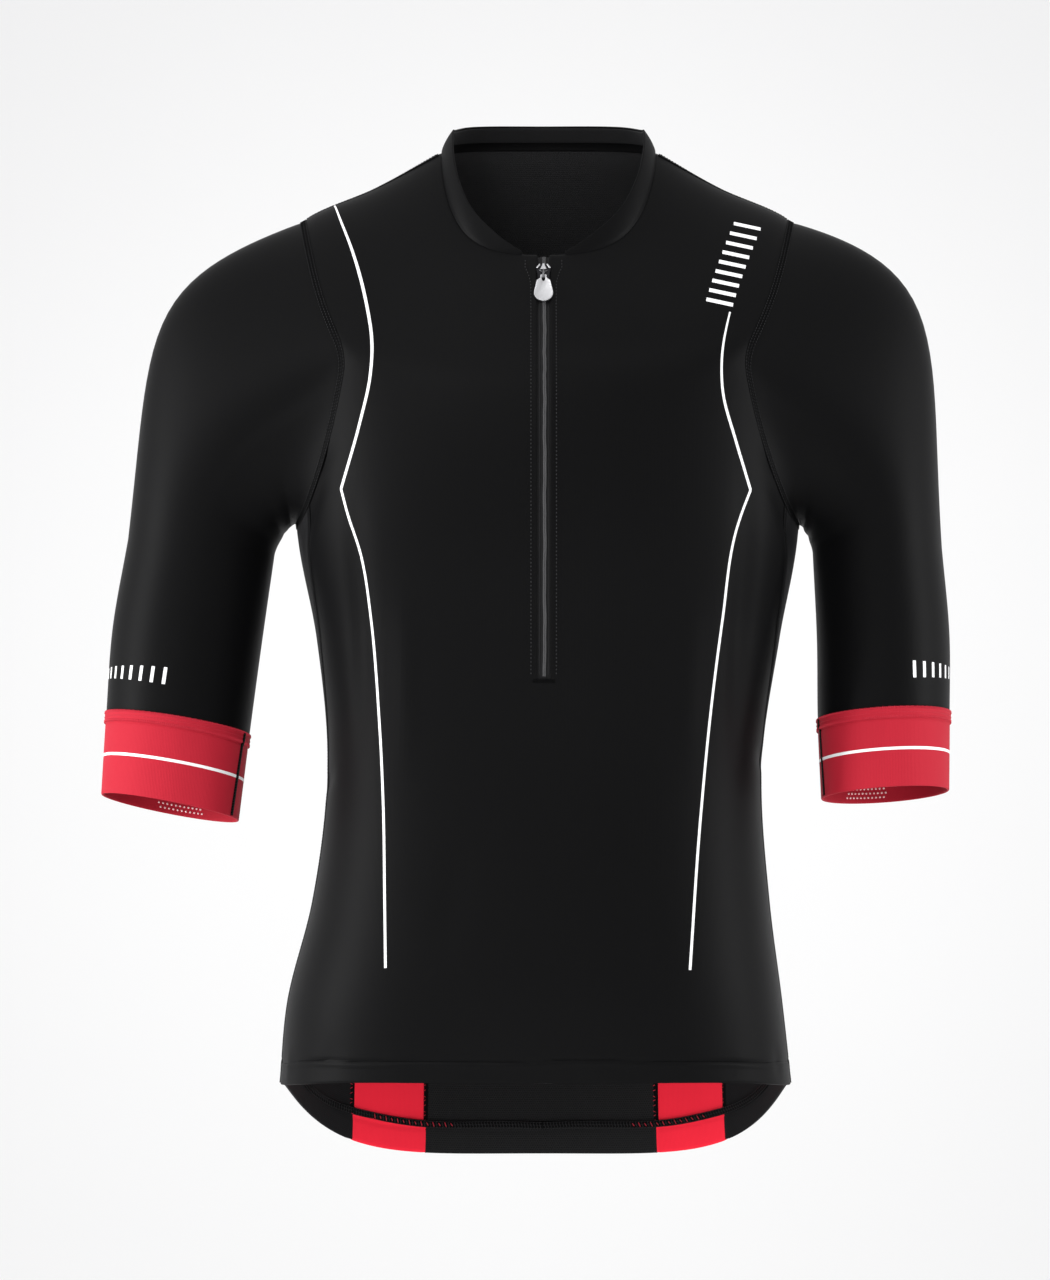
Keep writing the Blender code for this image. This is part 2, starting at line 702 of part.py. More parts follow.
def pin_place():
    """Where the pull's pin lies in front of the front, and the chest's slope there."""
    normal = torso_normal(0.0, SLIDER_UP)
    lift = SEAM_GAP + SLIDER_THICKNESS + PIN_CLEARANCE
    slope = math.atan2(normal.z, -normal.y)
    return torso_point(0.0, SLIDER_UP) + normal * lift, slope


def lay_on_chest(piece, tilt=0.0):
    """Put a piece made round the pin, with its back to the chest, in its place."""
    place, slope = pin_place()
    piece.location = place
    piece.rotation_euler = (-slope + tilt, 0, 0)


def as_mesh(curve_object):
    """A mesh copy of a curve object, with its caps closed; the curve is removed."""
    bpy.context.view_layer.update()
    depsgraph = bpy.context.evaluated_depsgraph_get()
    mesh = bpy.data.meshes.new_from_object(curve_object.evaluated_get(depsgraph))
    bm = bmesh.new()
    bm.from_mesh(mesh)
    bmesh.ops.remove_doubles(bm, verts=bm.verts, dist=0.001 * MM)
    bm.to_mesh(mesh)
    bm.free()
    solid = bpy.data.objects.new(curve_object.name, mesh)
    solid.matrix_world = curve_object.matrix_world
    bpy.data.objects.remove(curve_object, do_unlink=True)
    return solid


def make_bridge():
    """The round bridge over the pin, as a cutter for the slider's body to take in."""
    curve = bpy.data.curves.new("slider_bridge", "CURVE")
    curve.dimensions = "3D"
    curve.bevel_depth = BRIDGE_WIRE
    curve.bevel_resolution = 2
    curve.use_fill_caps = True
    spline = curve.splines.new("POLY")
    spline.points.add(BRIDGE_STEPS)
    for i, angle in enumerate(spread(-BRIDGE_REACH, BRIDGE_REACH, BRIDGE_STEPS)):
        ahead = -BRIDGE_RADIUS * math.cos(angle)
        spline.points[i].co = (0, ahead, BRIDGE_RADIUS * math.sin(angle), 1)
    bridge = bpy.data.objects.new("slider_bridge", curve)
    bpy.context.scene.collection.objects.link(bridge)
    bridge = as_mesh(bridge)
    bpy.data.collections["cutters"].objects.link(bridge)
    bridge.hide_render = True
    bridge.display_type = "WIRE"
    return bridge


def make_slider():
    """The slider: a rounded body on the coil, and the bridge that holds the pull."""
    tall = SLIDER_ABOVE_PIN + SLIDER_BELOW_PIN
    middle = (SLIDER_ABOVE_PIN - SLIDER_BELOW_PIN) / 2
    bpy.ops.mesh.primitive_cube_add(size=1, location=(0, 0, 0))
    slider = bpy.context.object
    slider.name = slider.data.name = "zip_slider"
    behind = PIN_CLEARANCE + SLIDER_THICKNESS / 2
    for vert in slider.data.vertices:
        narrow = 1.0 if vert.co.z > 0 else SLIDER_FOOT_SHARE
        vert.co = Vector((vert.co.x * SLIDER_WIDTH * narrow, vert.co.y * SLIDER_THICKNESS + behind,
                          vert.co.z * tall + middle))
    rounding = slider.modifiers.new("rounded edges", "BEVEL")
    rounding.width = SLIDER_ROUNDING
    rounding.segments = 3
    bridge = make_bridge()
    joined = slider.modifiers.new("bridge", "BOOLEAN")
    joined.operation = "UNION"
    joined.object = bridge
    lay_on_chest(slider)
    lay_on_chest(bridge)
    for collection in list(slider.users_collection):
        collection.objects.unlink(slider)
    slider.data.shade_smooth()
    slider.data.set_sharp_from_angle(angle=math.radians(35))
    add_piece(slider, DARK_METAL, metallic=0.9)


def pull_outline():
    """The drop-shaped outline of the pull, seen from the front, with its pin at the origin."""
    centre = -(PULL_LENGTH - PULL_RADIUS)
    lean = math.asin((PULL_RADIUS - PULL_TOP_HALF) / -centre)
    arc = [(PULL_RADIUS * math.cos(angle), centre + PULL_RADIUS * math.sin(angle))
           for angle in spread(lean, -math.pi - lean, PULL_ARC_STEPS)]
    return [(-PULL_TOP_HALF, PULL_PIN_HALF), (PULL_TOP_HALF, PULL_PIN_HALF)] + arc


def make_pull():
    """The pull: a drop-shaped plate with an eye for the bridge; it swings on its pin."""
    eye = [(PULL_EYE_HALF, -PULL_PIN_HALF), (-PULL_EYE_HALF, -PULL_PIN_HALF),
           (-PULL_EYE_HALF, -PULL_EYE_FOOT), (PULL_EYE_HALF, -PULL_EYE_FOOT)]
    curve = bpy.data.curves.new("zip_pull", "CURVE")
    curve.dimensions = "2D"
    curve.fill_mode = "BOTH"
    curve.extrude = PULL_HALF_THICKNESS - PULL_EDGE
    curve.bevel_depth = PULL_EDGE
    curve.bevel_resolution = 1
    curve.offset = -PULL_EDGE
    for outline in (pull_outline(), eye):
        spline = curve.splines.new("POLY")
        spline.points.add(len(outline) - 1)
        for point, (across, height) in zip(spline.points, outline):
            point.co = (across, height, 0, 1)
        spline.use_cyclic_u = True
    flat = bpy.data.objects.new("zip_pull", curve)
    bpy.context.scene.collection.objects.link(flat)
    pull = as_mesh(flat)
    for vert in pull.data.vertices:
        vert.co = Vector((vert.co.x, -vert.co.z, vert.co.y))
    pull.data.shade_smooth()
    pull.data.set_sharp_from_angle(angle=math.radians(35))
    pull.name = pull.data.name = "zip_pull"
    lay_on_chest(pull, PULL_TILT)
    add_piece(pull, SILVER_METAL, metallic=1.0)


# ---------------------------------------------------------------- the whole garment

def clear_scene():
    """Remove whatever the file holds, and make the collections for pieces and cutters."""
    for old in list(bpy.data.objects):
        bpy.data.objects.remove(old, do_unlink=True)
    for name in ("triathlon_top", "cutters"):
        bpy.context.scene.collection.children.link(bpy.data.collections.new(name))


def main():
    """Make every piece."""
    clear_scene()
    make_front()
    make_back()
    for side in ("left", "right"):
        make_side_panel(side)
        make_stripe(side)
        make_sleeve(side)
        make_cuff(side)
    make_collar()
    make_neck_tape()
    make_zip_tape()
    make_slider()
    make_pull()


main()
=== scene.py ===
"""The looks of a short-sleeved triathlon top with a half zip, in its worn shape with no wearer.

Metres, +Z up, front towards -Y, +X to the viewer's right; tables are in millimetres. Each cut
piece of cloth is a thin closed shell on the form of its solid. Sewing, prints, zip and metal
trim lie on those shells, at places worked out from the same forms.
"""
import logging
import math
from dataclasses import dataclass, field
from enum import Enum
from typing import Callable, Iterable, NamedTuple, Sequence

import bmesh
import bpy
import numpy as np
from mathutils import Matrix, Vector


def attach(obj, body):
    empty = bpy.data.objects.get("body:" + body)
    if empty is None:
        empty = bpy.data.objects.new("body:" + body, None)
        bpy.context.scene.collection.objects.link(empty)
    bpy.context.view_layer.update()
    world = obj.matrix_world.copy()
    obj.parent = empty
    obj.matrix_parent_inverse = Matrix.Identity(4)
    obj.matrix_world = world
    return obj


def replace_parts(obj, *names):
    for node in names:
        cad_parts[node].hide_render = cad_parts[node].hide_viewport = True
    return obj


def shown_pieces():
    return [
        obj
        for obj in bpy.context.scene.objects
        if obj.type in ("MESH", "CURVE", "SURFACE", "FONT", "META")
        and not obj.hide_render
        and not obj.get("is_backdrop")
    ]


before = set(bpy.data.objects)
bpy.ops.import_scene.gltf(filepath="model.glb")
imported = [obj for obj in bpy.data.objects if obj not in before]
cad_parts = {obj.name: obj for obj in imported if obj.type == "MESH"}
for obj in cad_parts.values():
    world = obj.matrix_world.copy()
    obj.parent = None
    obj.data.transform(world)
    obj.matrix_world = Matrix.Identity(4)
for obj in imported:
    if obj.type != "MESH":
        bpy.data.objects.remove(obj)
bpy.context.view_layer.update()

Piece = bpy.types.Object
Place = tuple[float, float]
Sample = tuple[Vector, Vector]
MM = 0.001
LOG = logging.getLogger("triathlon_top")
GARMENT = "garment"
PULL_BODY = "pull_tab"


# ---- tables of the forms, in mm

class TorsoRow(NamedTuple):
    """A section of the torso; "up" runs along the side from the hem to the neck seam."""

    up: float
    half_width: float
    shift: float
    front_y: float
    side_y: float
    back_y: float
    front_z: float
    side_z: float
    back_z: float
    ease: float


class SleeveRow(NamedTuple):
    """A ring of the sleeve; "down" runs from the upper arm to the cuff's hem."""

    down: float
    centre_x: float
    centre_y: float
    centre_z: float
    half_width: float
    half_depth: float
    roll: float
    pitch: float


class CollarRow(NamedTuple):
    """The collar's height and lean at a turn round the neck, in degrees."""

    turn: float
    height: float
    lean: float


class Crease(NamedTuple):
    """A soft trough (depth below 0) or ridge: its middle, its direction and its sizes."""

    turn: float
    up: float
    tilt: float
    length: float
    width: float
    depth: float


class PrintRow(NamedTuple):
    """A place on a printed line as the camera sees it in the plane of the shoulders."""

    drop: float
    across: float


class Side(Enum):
    """The viewer's left or right."""

    LEFT = "left"
    RIGHT = "right"

    @property
    def sign(self) -> int:
        """-1 on the left and 1 on the right."""
        return -1 if self is Side.LEFT else 1


class Table:
    """Rows of named columns, read anywhere between them on one smooth curve."""

    def __init__(self, rows: Sequence[NamedTuple]) -> None:
        """Keep the rows and work out each column's slope at each row.

        Args:
            rows: the rows, in the order of their first column.
        """
        self.rows = tuple(rows)
        self.slopes = [self._slope(index) for index in range(len(self.rows))]
        self._read: dict[float, NamedTuple] = {}

    def _step(self, index: int) -> tuple[float, list[float]]:
        """The distance to the next row and the columns' slopes on the way."""
        here, after = self.rows[index], self.rows[index + 1]
        span = after[0] - here[0]
        return span, [(b - a) / span for a, b in zip(here, after)]

    def _slope(self, index: int) -> list[float]:
        """The slopes at a row: its neighbours' slopes, the nearer one more."""
        near = [self._step(i) for i in (index - 1, index) if 0 <= i < len(self.rows) - 1]
        if len(near) == 1:
            return near[0][1]
        (before, below), (after, above) = near
        return [(low * after + high * before) / (before + after)
                for low, high in zip(below, above)]

    def at(self, place: float) -> NamedTuple:
        """Read the table.

        Args:
            place: where to read, in the units of the first column.

        Returns:
            A row of the same kind.
        """
        if place not in self._read:
            rows = self.rows
            inside = min(max(place, rows[0][0]), rows[-1][0])
            after = next(i for i in range(1, len(rows)) if inside <= rows[i][0])
            before = after - 1
            span = rows[after][0] - rows[before][0]
            share = (inside - rows[before][0]) / span
            columns = zip(rows[before], rows[after], self.slopes[before], self.slopes[after])
            self._read[place] = type(rows[0])(*(
                hermite(start, end, leave * span, arrive * span, share)
                for start, end, leave, arrive in columns))
        return self._read[place]


def hermite(start, end, leave, arrive, share: float):
    """A cubic from start to end that leaves and arrives with the given slopes."""
    square = share * share
    cube = square * share
    return (start * (2 * cube - 3 * square + 1) + leave * (cube - 2 * square + share)
            + end * (3 * square - 2 * cube) + arrive * (cube - square))


def spread(start: float, end: float, count: int, crowd: float = 0.0) -> list[float]:
    """Values from start to end.

    Args:
        start: the first value.
        end: the last value.
        count: how many steps lie between them.
        crowd: 0 for even steps, towards 1 for shorter steps near both ends.

    Returns:
        count + 1 values.
    """
    values = []
    for i in range(count + 1):
        share = i / count
        share -= crowd * math.sin(2 * math.pi * share) / (2 * math.pi)
        values.append(start + (end - start) * share)
    return values


def hump(place: float, width: float) -> float:
    """1 at place 0, falling smoothly to nothing about two widths away."""
    return math.exp(-(place / width) ** 2)


def clamp(value: float) -> float:
    """The value, held between 0 and 1."""
    return min(max(value, 0.0), 1.0)


def eased(share: float) -> float:
    """A share from 0 to 1 that leaves and arrives gently."""
    return share * share * (3 - 2 * share)


def lengths_along(points: Sequence[Vector]) -> list[float]:
    """How far along its line each point lies."""
    lengths = [0.0]
    for before, after in zip(points, points[1:]):
        lengths.append(lengths[-1] + (after - before).length)
    return lengths


def crease_lift(crease: Crease, away: float, rise: float) -> float:
    """How far a crease lifts the cloth at a place beside and above its middle, in mm."""
    tilt = math.radians(crease.tilt)
    along = (away * math.cos(tilt) + rise * math.sin(tilt)) / (crease.length / 2)
    if abs(along) >= 1:
        return 0.0
    beside = rise * math.cos(tilt) - away * math.sin(tilt)
    return crease.depth * hump(beside, crease.width) * (1 - along * along) ** 2


def rows_of(kind: type, *rows: tuple) -> tuple:
    """Rows of a kind, from plain rows."""
    return tuple(kind(*row) for row in rows)


TORSO_ROWS = (
    TorsoRow(0, 168.5, -5.0, -107, 5, 114, -604, -614, -673, 1.0),
    TorsoRow(54, 163.0, -5.5, -108, 4, 116, -552, -561, -606, 1.0),
    TorsoRow(120, 150.5, -1.5, -103, 1, 104, -489, -495, -520, 1.0),
    TorsoRow(212, 143.0, 1.0, -98, -3, 85, -401, -403, -408, 1.0),
    TorsoRow(294, 152.5, 3.3, -105, -2, 90, -318, -321, -320, 1.0),
    TorsoRow(368, 165.5, 3.0, -114, 0, 99, -246, -247, -240, 1.0),
    TorsoRow(469, 163.0, 1.5, -110, 0, 103, -168, -114, -146, 1.0),
    TorsoRow(570, 160.5, 2.5, -93, 1, 94, -129, -46, -78, 1.0),
    TorsoRow(622, 113.0, 3.0, -79, 0, 77, -101, -24, -32, 0.85),
    TorsoRow(672, 71.0, 3.6, -62, -4, 56, -73, -1, 7, 0.45),
)
SLEEVE_ROWS = {
    Side.LEFT: (
        SleeveRow(0, 225.2, -4, -261.0, 48.4, 51, 6.0, 3),
        SleeveRow(60, 234.4, -8, -321.0, 49.2, 50, 7.0, 5),
        SleeveRow(117, 239.8, -15, -377.5, 47.4, 49, 9.0, 8),
        SleeveRow(173, 244.4, -22, -431.5, 45.6, 48.4, 10.5, 8),
    ),
    Side.RIGHT: (
        SleeveRow(0, 220.2, -4, -263.0, 42.4, 55, 2.0, 3),
        SleeveRow(60, 223.8, -8, -321.0, 43.5, 54, 2.0, 5),
        SleeveRow(113, 223.6, -15, -372.4, 43.2, 52, 3.0, 8),
        SleeveRow(164, 224.0, -22, -423.0, 41.8, 51.4, 3.5, 8),
    ),
}
COLLAR_ROWS = (
    CollarRow(10, 1.8, 0.4),
    CollarRow(18, 7.0, 1.5),
    CollarRow(30, 13.5, 4.0),
    CollarRow(50, 17.0, 6.0),
    CollarRow(70, 17.0, 6.5),
    CollarRow(90, 15.5, 8.0),
    CollarRow(135, 15.5, 7.5),
    CollarRow(180, 15.5, 5.0),
)
# Turns in degrees, minus on the viewer's left; tilt 0 runs across and 90 up.
CREASES = rows_of(Crease,
                  (-47, 300, 82, 210, 11, -2.6),
                  (-33, 268, 86, 150, 8, 1.1),
                  (50, 306, 98, 230, 12, -2.8),
                  (35, 262, 94, 140, 8, 1.0),
                  (-64, 372, 38, 90, 7, -1.8),
                  (-58, 402, 30, 70, 6, -1.2),
                  (66, 368, 142, 95, 7, -1.9),
                  (60, 400, 150, 66, 6, -1.1),
                  (-20, 120, 84, 120, 10, -0.8),
                  (24, 96, 97, 110, 9, -0.7),
                  (-78, 200, 12, 60, 6, -0.9),
                  (80, 214, -10, 64, 6, -1.0),
                  (150, 190, 8, 130, 9, -1.9),
                  (196, 212, -6, 150, 8, -1.6),
                  (172, 236, 4, 110, 8, -1.3),
                  (214, 184, -12, 90, 7, -1.4),
                  (132, 372, 128, 90, 8, -1.9),
                  (228, 368, 52, 86, 8, -1.8),
                  (182, 520, 90, 120, 14, -1.6))
# Short ripples where the hem's stitching draws the cloth up.
HEM_RIPPLES = rows_of(Crease,
                      (-72, 12, 90, 34, 7, 0.5),
                      (-49, 14, 78, 40, 8, -0.7),
                      (-30, 12, 95, 30, 6, 0.4),
                      (-12, 13, 84, 44, 9, -0.6),
                      (9, 12, 98, 34, 7, 0.4),
                      (26, 13, 88, 40, 8, -0.5),
                      (47, 12, 80, 36, 7, 0.5),
                      (66, 14, 96, 34, 8, -0.6),
                      (104, 14, 84, 30, 7, 0.4),
                      (146, 16, 92, 40, 9, -0.5),
                      (171, 18, 86, 44, 9, 0.5),
                      (199, 17, 95, 40, 8, -0.6),
                      (226, 15, 88, 36, 8, 0.4),
                      (252, 14, 92, 30, 7, -0.4))


@dataclass
class Torso:
    """The form of the torso, read by turn (0 at the front's middle, pi at the back's) and up."""

    squareness: float = 0.035
    neck_fullness: float = 0.12
    neck_up: float = 672.0
    table: Table = field(default_factory=lambda: Table(TORSO_ROWS))
    hem_rise: float = 14.0
    back_hem_rise: float = 15.5
    hem_groove_depth: float = 0.75
    hem_groove_width: float = 1.1
    hem_lip: float = 0.55
    cloth: float = 1.0
    turned_hem: float = 2.1
    _normals: dict = field(default_factory=dict)

    def base(self, turn: float, up: float) -> Vector:
        """A point of the smooth form, before creases.

        Args:
            turn: the place round the section, in radians.
            up: the place along the side, in mm.

        Returns:
            The point, in metres.
        """
        row = self.table.at(up)
        sine = math.sin(turn)
        cosine = math.cos(turn)
        across = (sine + self.squareness * math.sin(3 * turn)) / (1 - self.squareness)
        along = (cosine - self.squareness * math.cos(3 * turn)) / (1 - self.squareness)
        in_front = cosine > 0
        depth = row.side_y - row.front_y if in_front else row.back_y - row.side_y
        rise = (row.front_z if in_front else row.back_z) - row.side_z
        near = abs(cosine)
        ridge = near * (1 + self.neck_fullness * sine * sine)
        weight = ridge + (eased(near) - ridge) * row.ease
        return MM * Vector((row.shift * sine * sine + row.half_width * across,
                            row.side_y - depth * along,
                            row.side_z + rise * weight))

    def slopes(self, turn: float, up: float) -> Sample:
        """The form's directions with turn and with up."""
        step = 0.004
        low = max(up - 1.0, 0.0)
        high = min(up + 1.0, self.neck_up)
        around = (self.base(turn + step, up) - self.base(turn - step, up)) / (2 * step)
        upward = (self.base(turn, high) - self.base(turn, low)) / (high - low)
        return around, upward

    def normal(self, turn: float, up: float) -> Vector:
        """The direction that points out of the form."""
        key = (turn, up)
        if key not in self._normals:
            around, upward = self.slopes(turn, up)
            self._normals[key] = around.cross(upward).normalized()
        return self._normals[key]

    def hem_line(self, turn: float) -> float:
        """How high the hem is turned up at a turn, in mm, with the stitching's slight wave."""
        back = 0.5 - 0.5 * math.cos(turn)
        wave = 0.7 * math.sin(5.3 * turn + 0.8) + 0.5 * math.sin(11 * turn)
        return self.hem_rise + (self.back_hem_rise - self.hem_rise) * back ** 2 + wave

    def relief(self, turn: float, up: float) -> float:
        """How far creases and stitching lift the cloth from the smooth form, in mm."""
        total = 0.0
        radius = self.table.at(up).half_width
        for crease in CREASES + (HEM_RIPPLES if up < 60 else ()):
            if abs(up - crease.up) <= crease.length:
                away = math.remainder(turn - math.radians(crease.turn), 2 * math.pi) * radius
                total += crease_lift(crease, away, up - crease.up)
        if up < 40:
            above = up - self.hem_line(turn)
            total -= self.hem_groove_depth * hump(above, self.hem_groove_width)
            total += self.hem_lip * hump(above + 2.0, 1.2)
        return total

    def point(self, turn: float, up: float) -> Vector:
        """A point of the cloth's outer face."""
        return self.base(turn, up) + self.normal(turn, up) * self.relief(turn, up) * MM

    def wall(self, turn: float, up: float) -> float:
        """The cloth's thickness in mm: double where the hem is turned up."""
        share = clamp((self.hem_line(turn) - up) / 1.2 + 0.5)
        return self.cloth + (self.turned_hem - self.cloth) * share

    def turn_for(self, across: float, up: float) -> float:
        """The turn at which the front lies a number of mm to the right of its middle."""
        around, _ = self.slopes(0.0, up)
        return across * MM / around.length


@dataclass
class Pattern:
    """Where the torso's seams run: the armhole by station, the others by their turn at a height."""

    torso: Torso
    middle_up: float = 469.0
    half_height: float = 101.0
    front_reach: float = math.radians(40.5)
    back_reach: float = math.radians(30)
    power: float = 3.0
    lean: float = 0.15
    evening: float = 0.12
    stations: int = 28
    side_station: int = 11
    stripe_station: int = 8
    front_at_hem: float = math.radians(88)
    front_power: float = 2.2
    side_back_at_hem: float = math.radians(135)
    side_back_power: float = 1.5
    stripe_at_hem: float = math.radians(155)
    stripe_power: float = 2.0
    stripe_end_width: float = 1.2
    zip_foot_up: float = 265.0
    slit_half: float = 4.15

    def armhole_turn(self, height: float, forward: float) -> float:
        """The armhole's turn at a height from -1 to 1, before or behind the side."""
        reach = self.front_reach * (1 + self.lean * height) if forward > 0 else self.back_reach
        share = (1 - abs(height) ** self.power) ** (1 / self.power)
        return math.pi / 2 - math.copysign(reach * share, forward)

    def armhole(self, station: float) -> Place:
        """Turn and up of a place round the right armhole; station 0 is the shoulder's tip."""
        angle = 2 * math.pi * station / self.stations
        angle -= self.evening * math.sin(4 * angle)
        level = math.cos(angle)
        height = math.copysign(abs(level) ** (2 / self.power), level)
        return (self.armhole_turn(height, math.sin(angle)),
                self.middle_up + self.half_height * height)

    def _rising(self, up: float, at_hem: float, station: float, power: float,
                widen: float = 0.0) -> float:
        """The turn of a seam that rises from the hem to a place on the armhole."""
        turn, top_up = self.armhole(station)
        if widen:
            around, _ = self.torso.slopes(turn, top_up)
            turn += widen * MM / around.length
        return at_hem + (turn - at_hem) * min(up / top_up, 1.0) ** power

    def _above(self, up: float, station: float, below: float, forward: int) -> float:
        """A seam that gives way to the armhole, and above that to the shoulder seam."""
        if up <= self.armhole(station)[1] + 1e-4:
            return below
        if up >= self.middle_up + self.half_height - 1e-4:
            return math.pi / 2
        return self.armhole_turn((up - self.middle_up) / self.half_height, forward)

    def front_seam(self, up: float) -> float:
        """The seam between the front and the side panel."""
        return self._rising(up, self.front_at_hem, self.side_station, self.front_power)

    def front_edge(self, up: float) -> float:
        """The front's outer edge: side seam, armhole, shoulder seam."""
        return self._above(up, self.side_station, self.front_seam(up), 1)

    def side_back_seam(self, up: float) -> float:
        """The seam between the side panel and the stripe."""
        station = self.stations - self.side_station
        below = self._rising(up, self.side_back_at_hem, station, self.side_back_power)
        return self._above(up, self.side_station, below, -1)

    def stripe_seam(self, up: float) -> float:
        """The seam between the stripe and the back."""
        station = self.stations - self.stripe_station
        below = self._rising(up, self.stripe_at_hem, station, self.stripe_power,
                             self.stripe_end_width)
        return self._above(up, self.stripe_station, below, -1)


@dataclass
class Arm:
    """The form of one sleeve and cuff: "along" is 0 to 1 on its head, then mm down its tube."""

    side: Side
    torso: Torso
    pattern: Pattern
    leave: float = 1.15
    leave_on_top: float = 0.3
    arrive: float = 1.35
    arrive_on_top: float = 0.4
    follows_torso: float = 0.35
    table: Table = field(init=False)
    slope: float = field(init=False)
    fullness: float = field(init=False)
    bulge: float = field(init=False)
    _edges: dict = field(default_factory=dict)

    def __post_init__(self) -> None:
        """Take this side's own rows, slope and fullness."""
        self.table = Table(SLEEVE_ROWS[self.side])
        self.slope = math.radians({Side.LEFT: 20.0, Side.RIGHT: 15.5}[self.side])
        self.fullness = {Side.LEFT: 1.02, Side.RIGHT: 1.0}[self.side]
        self.bulge = {Side.LEFT: 25.0, Side.RIGHT: 10.0}[self.side]

    @property
    def cuff_top(self) -> float:
        """How far down the cuff's seam lies."""
        return self.table.rows[2].down

    @property
    def cuff_end(self) -> float:
        """How far down the cuff's hem lies."""
        return self.table.rows[3].down

    def ring(self, station: float, down: float) -> Vector:
        """A point round the tube; station 0 is its outer side and 7 its front."""
        row = self.table.at(down)
        angle = 2 * math.pi * station / self.pattern.stations
        roll = math.radians(row.roll)
        pitch = math.radians(row.pitch)
        outward = Vector((math.cos(roll), 0, math.sin(roll)))
        forward = Vector((0, -math.cos(pitch), math.sin(pitch)))
        point = (Vector((row.centre_x, row.centre_y, row.centre_z))
                 + outward * row.half_width * math.cos(angle)
                 + forward * row.half_depth * math.sin(angle))
        return MM * Vector((self.side.sign * point.x, point.y, point.z))

    def edge(self, station: float) -> tuple[Vector, Vector, Vector]:
        """The armhole's point, the torso's normal there, and the way out across the seam."""
        if station not in self._edges:
            sign = self.side.sign
            turn, up = self.pattern.armhole(station)
            total = Vector()
            for near in (-2, -1, 0, 1, 2):
                near_turn, near_up = self.pattern.armhole(station + near)
                ends = [self.torso.base(sign * t, u) for t, u in (
                    self.pattern.armhole(station + near + 0.1),
                    self.pattern.armhole(station + near - 0.1))]
                normal = self.torso.normal(sign * near_turn, near_up)
                total += normal.cross(ends[0] - ends[1]).normalized()
            out = total.normalized() * sign
            slope = Vector((sign * math.cos(self.slope), 0, -math.sin(self.slope)))
            level = max(math.cos(2 * math.pi * station / self.pattern.stations), 0.0)
            self._edges[station] = (self.torso.base(sign * turn, up),
                                    self.torso.normal(sign * turn, up),
                                    out.lerp(slope, level).normalized())
        return self._edges[station]

    def base(self, station: float, along: float) -> Vector:
        """A point of the sleeve's smooth form.

        Args:
            station: the place round the arm.
            along: 0 to 1 on the head, then 1 + mm down the tube.

        Returns:
            The point, in metres.
        """
        if along > 1:
            return self.ring(station, along - 1)
        level = math.cos(2 * math.pi * station / self.pattern.stations)
        start, _, out = self.edge(station)
        end = self.ring(station, 0)
        chord = (end - start).length
        follow = self.follows_torso + (1 - self.follows_torso) * level * level
        leaving = out.lerp((end - start).normalized(), 1 - follow).normalized()
        arriving = (self.ring(station, 1) - end).normalized()
        full = chord * (self.fullness if level > 0 else 1.0)
        arrive = arriving * full * (self.arrive + self.arrive_on_top * level)
        arrive.x -= self.side.sign * self.bulge * MM * max(level, 0.0)
        leave = leaving * full * (self.leave + self.leave_on_top * level)
        return hermite(start, end, leave, arrive, along)

    def normal(self, station: float, along: float) -> Vector:
        """The direction that points out of the sleeve; on the seam it is the torso's own."""
        if along == 0:
            return self.edge(station)[1]
        step = 0.01 if along <= 1 else 1.0
        around = self.base(station + 0.25, along) - self.base(station - 0.25, along)
        downward = self.base(station, along) - self.base(station, max(along - step, 0.0))
        return around.cross(downward).normalized() * self.side.sign


@dataclass
class Neck:
    """The form of the stand collar, read by turn and by a share of its height."""

    torso: Torso
    front_turn: float = math.radians(10.2)
    forward: float = 0.22
    table: Table = field(default_factory=lambda: Table(COLLAR_ROWS))

    def row(self, turn: float) -> CollarRow:
        """The collar's height and lean at a turn, the same on both sides."""
        return self.table.at(math.degrees(min(turn, 2 * math.pi - turn)))

    def point(self, turn: float, height: float) -> Vector:
        """A point of the outer face, a share of the height above the neck seam."""
        row = self.row(turn)
        up = self.torso.neck_up
        seam = self.torso.base(turn, up)
        middle = (self.torso.base(math.pi / 2, up) + self.torso.base(-math.pi / 2, up)) / 2
        inward = (middle - seam) * Vector((1, 1, 0))
        rise = Vector((0, -self.forward, 1)).normalized() * row.height * MM * height
        return seam + rise + inward.normalized() * row.lean * MM * (height + height * height) / 2

    def normal(self, turn: float, height: float) -> Vector:
        """The direction that points out of the collar."""
        step = 0.01
        around = self.point(turn + step, height) - self.point(turn - step, height)
        upward = self.point(turn, height + step) - self.point(turn, height - step)
        return around.cross(upward).normalized()


# ---- shader maths

def maths(operation: str) -> Callable[..., "Level"]:
    """A method of Level that adds one Math node of an operation."""

    def method(self: "Level", *others: "Level | float") -> "Level":
        """Add the node and wrap its result."""
        node = self.paint.add("ShaderNodeMath", {"operation": operation},
                              dict(enumerate((self, *others))))
        return Level(self.paint, node.outputs[0])

    return method


@dataclass
class Level:
    """A number that changes over a surface; Python's operators add the Math nodes."""

    paint: "Paint"
    socket: bpy.types.NodeSocket

    __add__, __sub__, __mul__, __truediv__ = (maths(operation) for operation in (
        "ADD", "SUBTRACT", "MULTIPLY", "DIVIDE"))
    sine, size, fraction, whole, power = (maths(operation) for operation in (
        "SINE", "ABSOLUTE", "FRACT", "FLOOR", "POWER"))

    def between(self, low: float, high: float) -> "Level":
        """0 at low and 1 at high, smooth between and held beyond."""
        node = self.paint.add("ShaderNodeMapRange", {"interpolation_type": "SMOOTHSTEP"},
                              {0: self, 1: low, 2: high})
        return Level(self.paint, node.outputs[0])


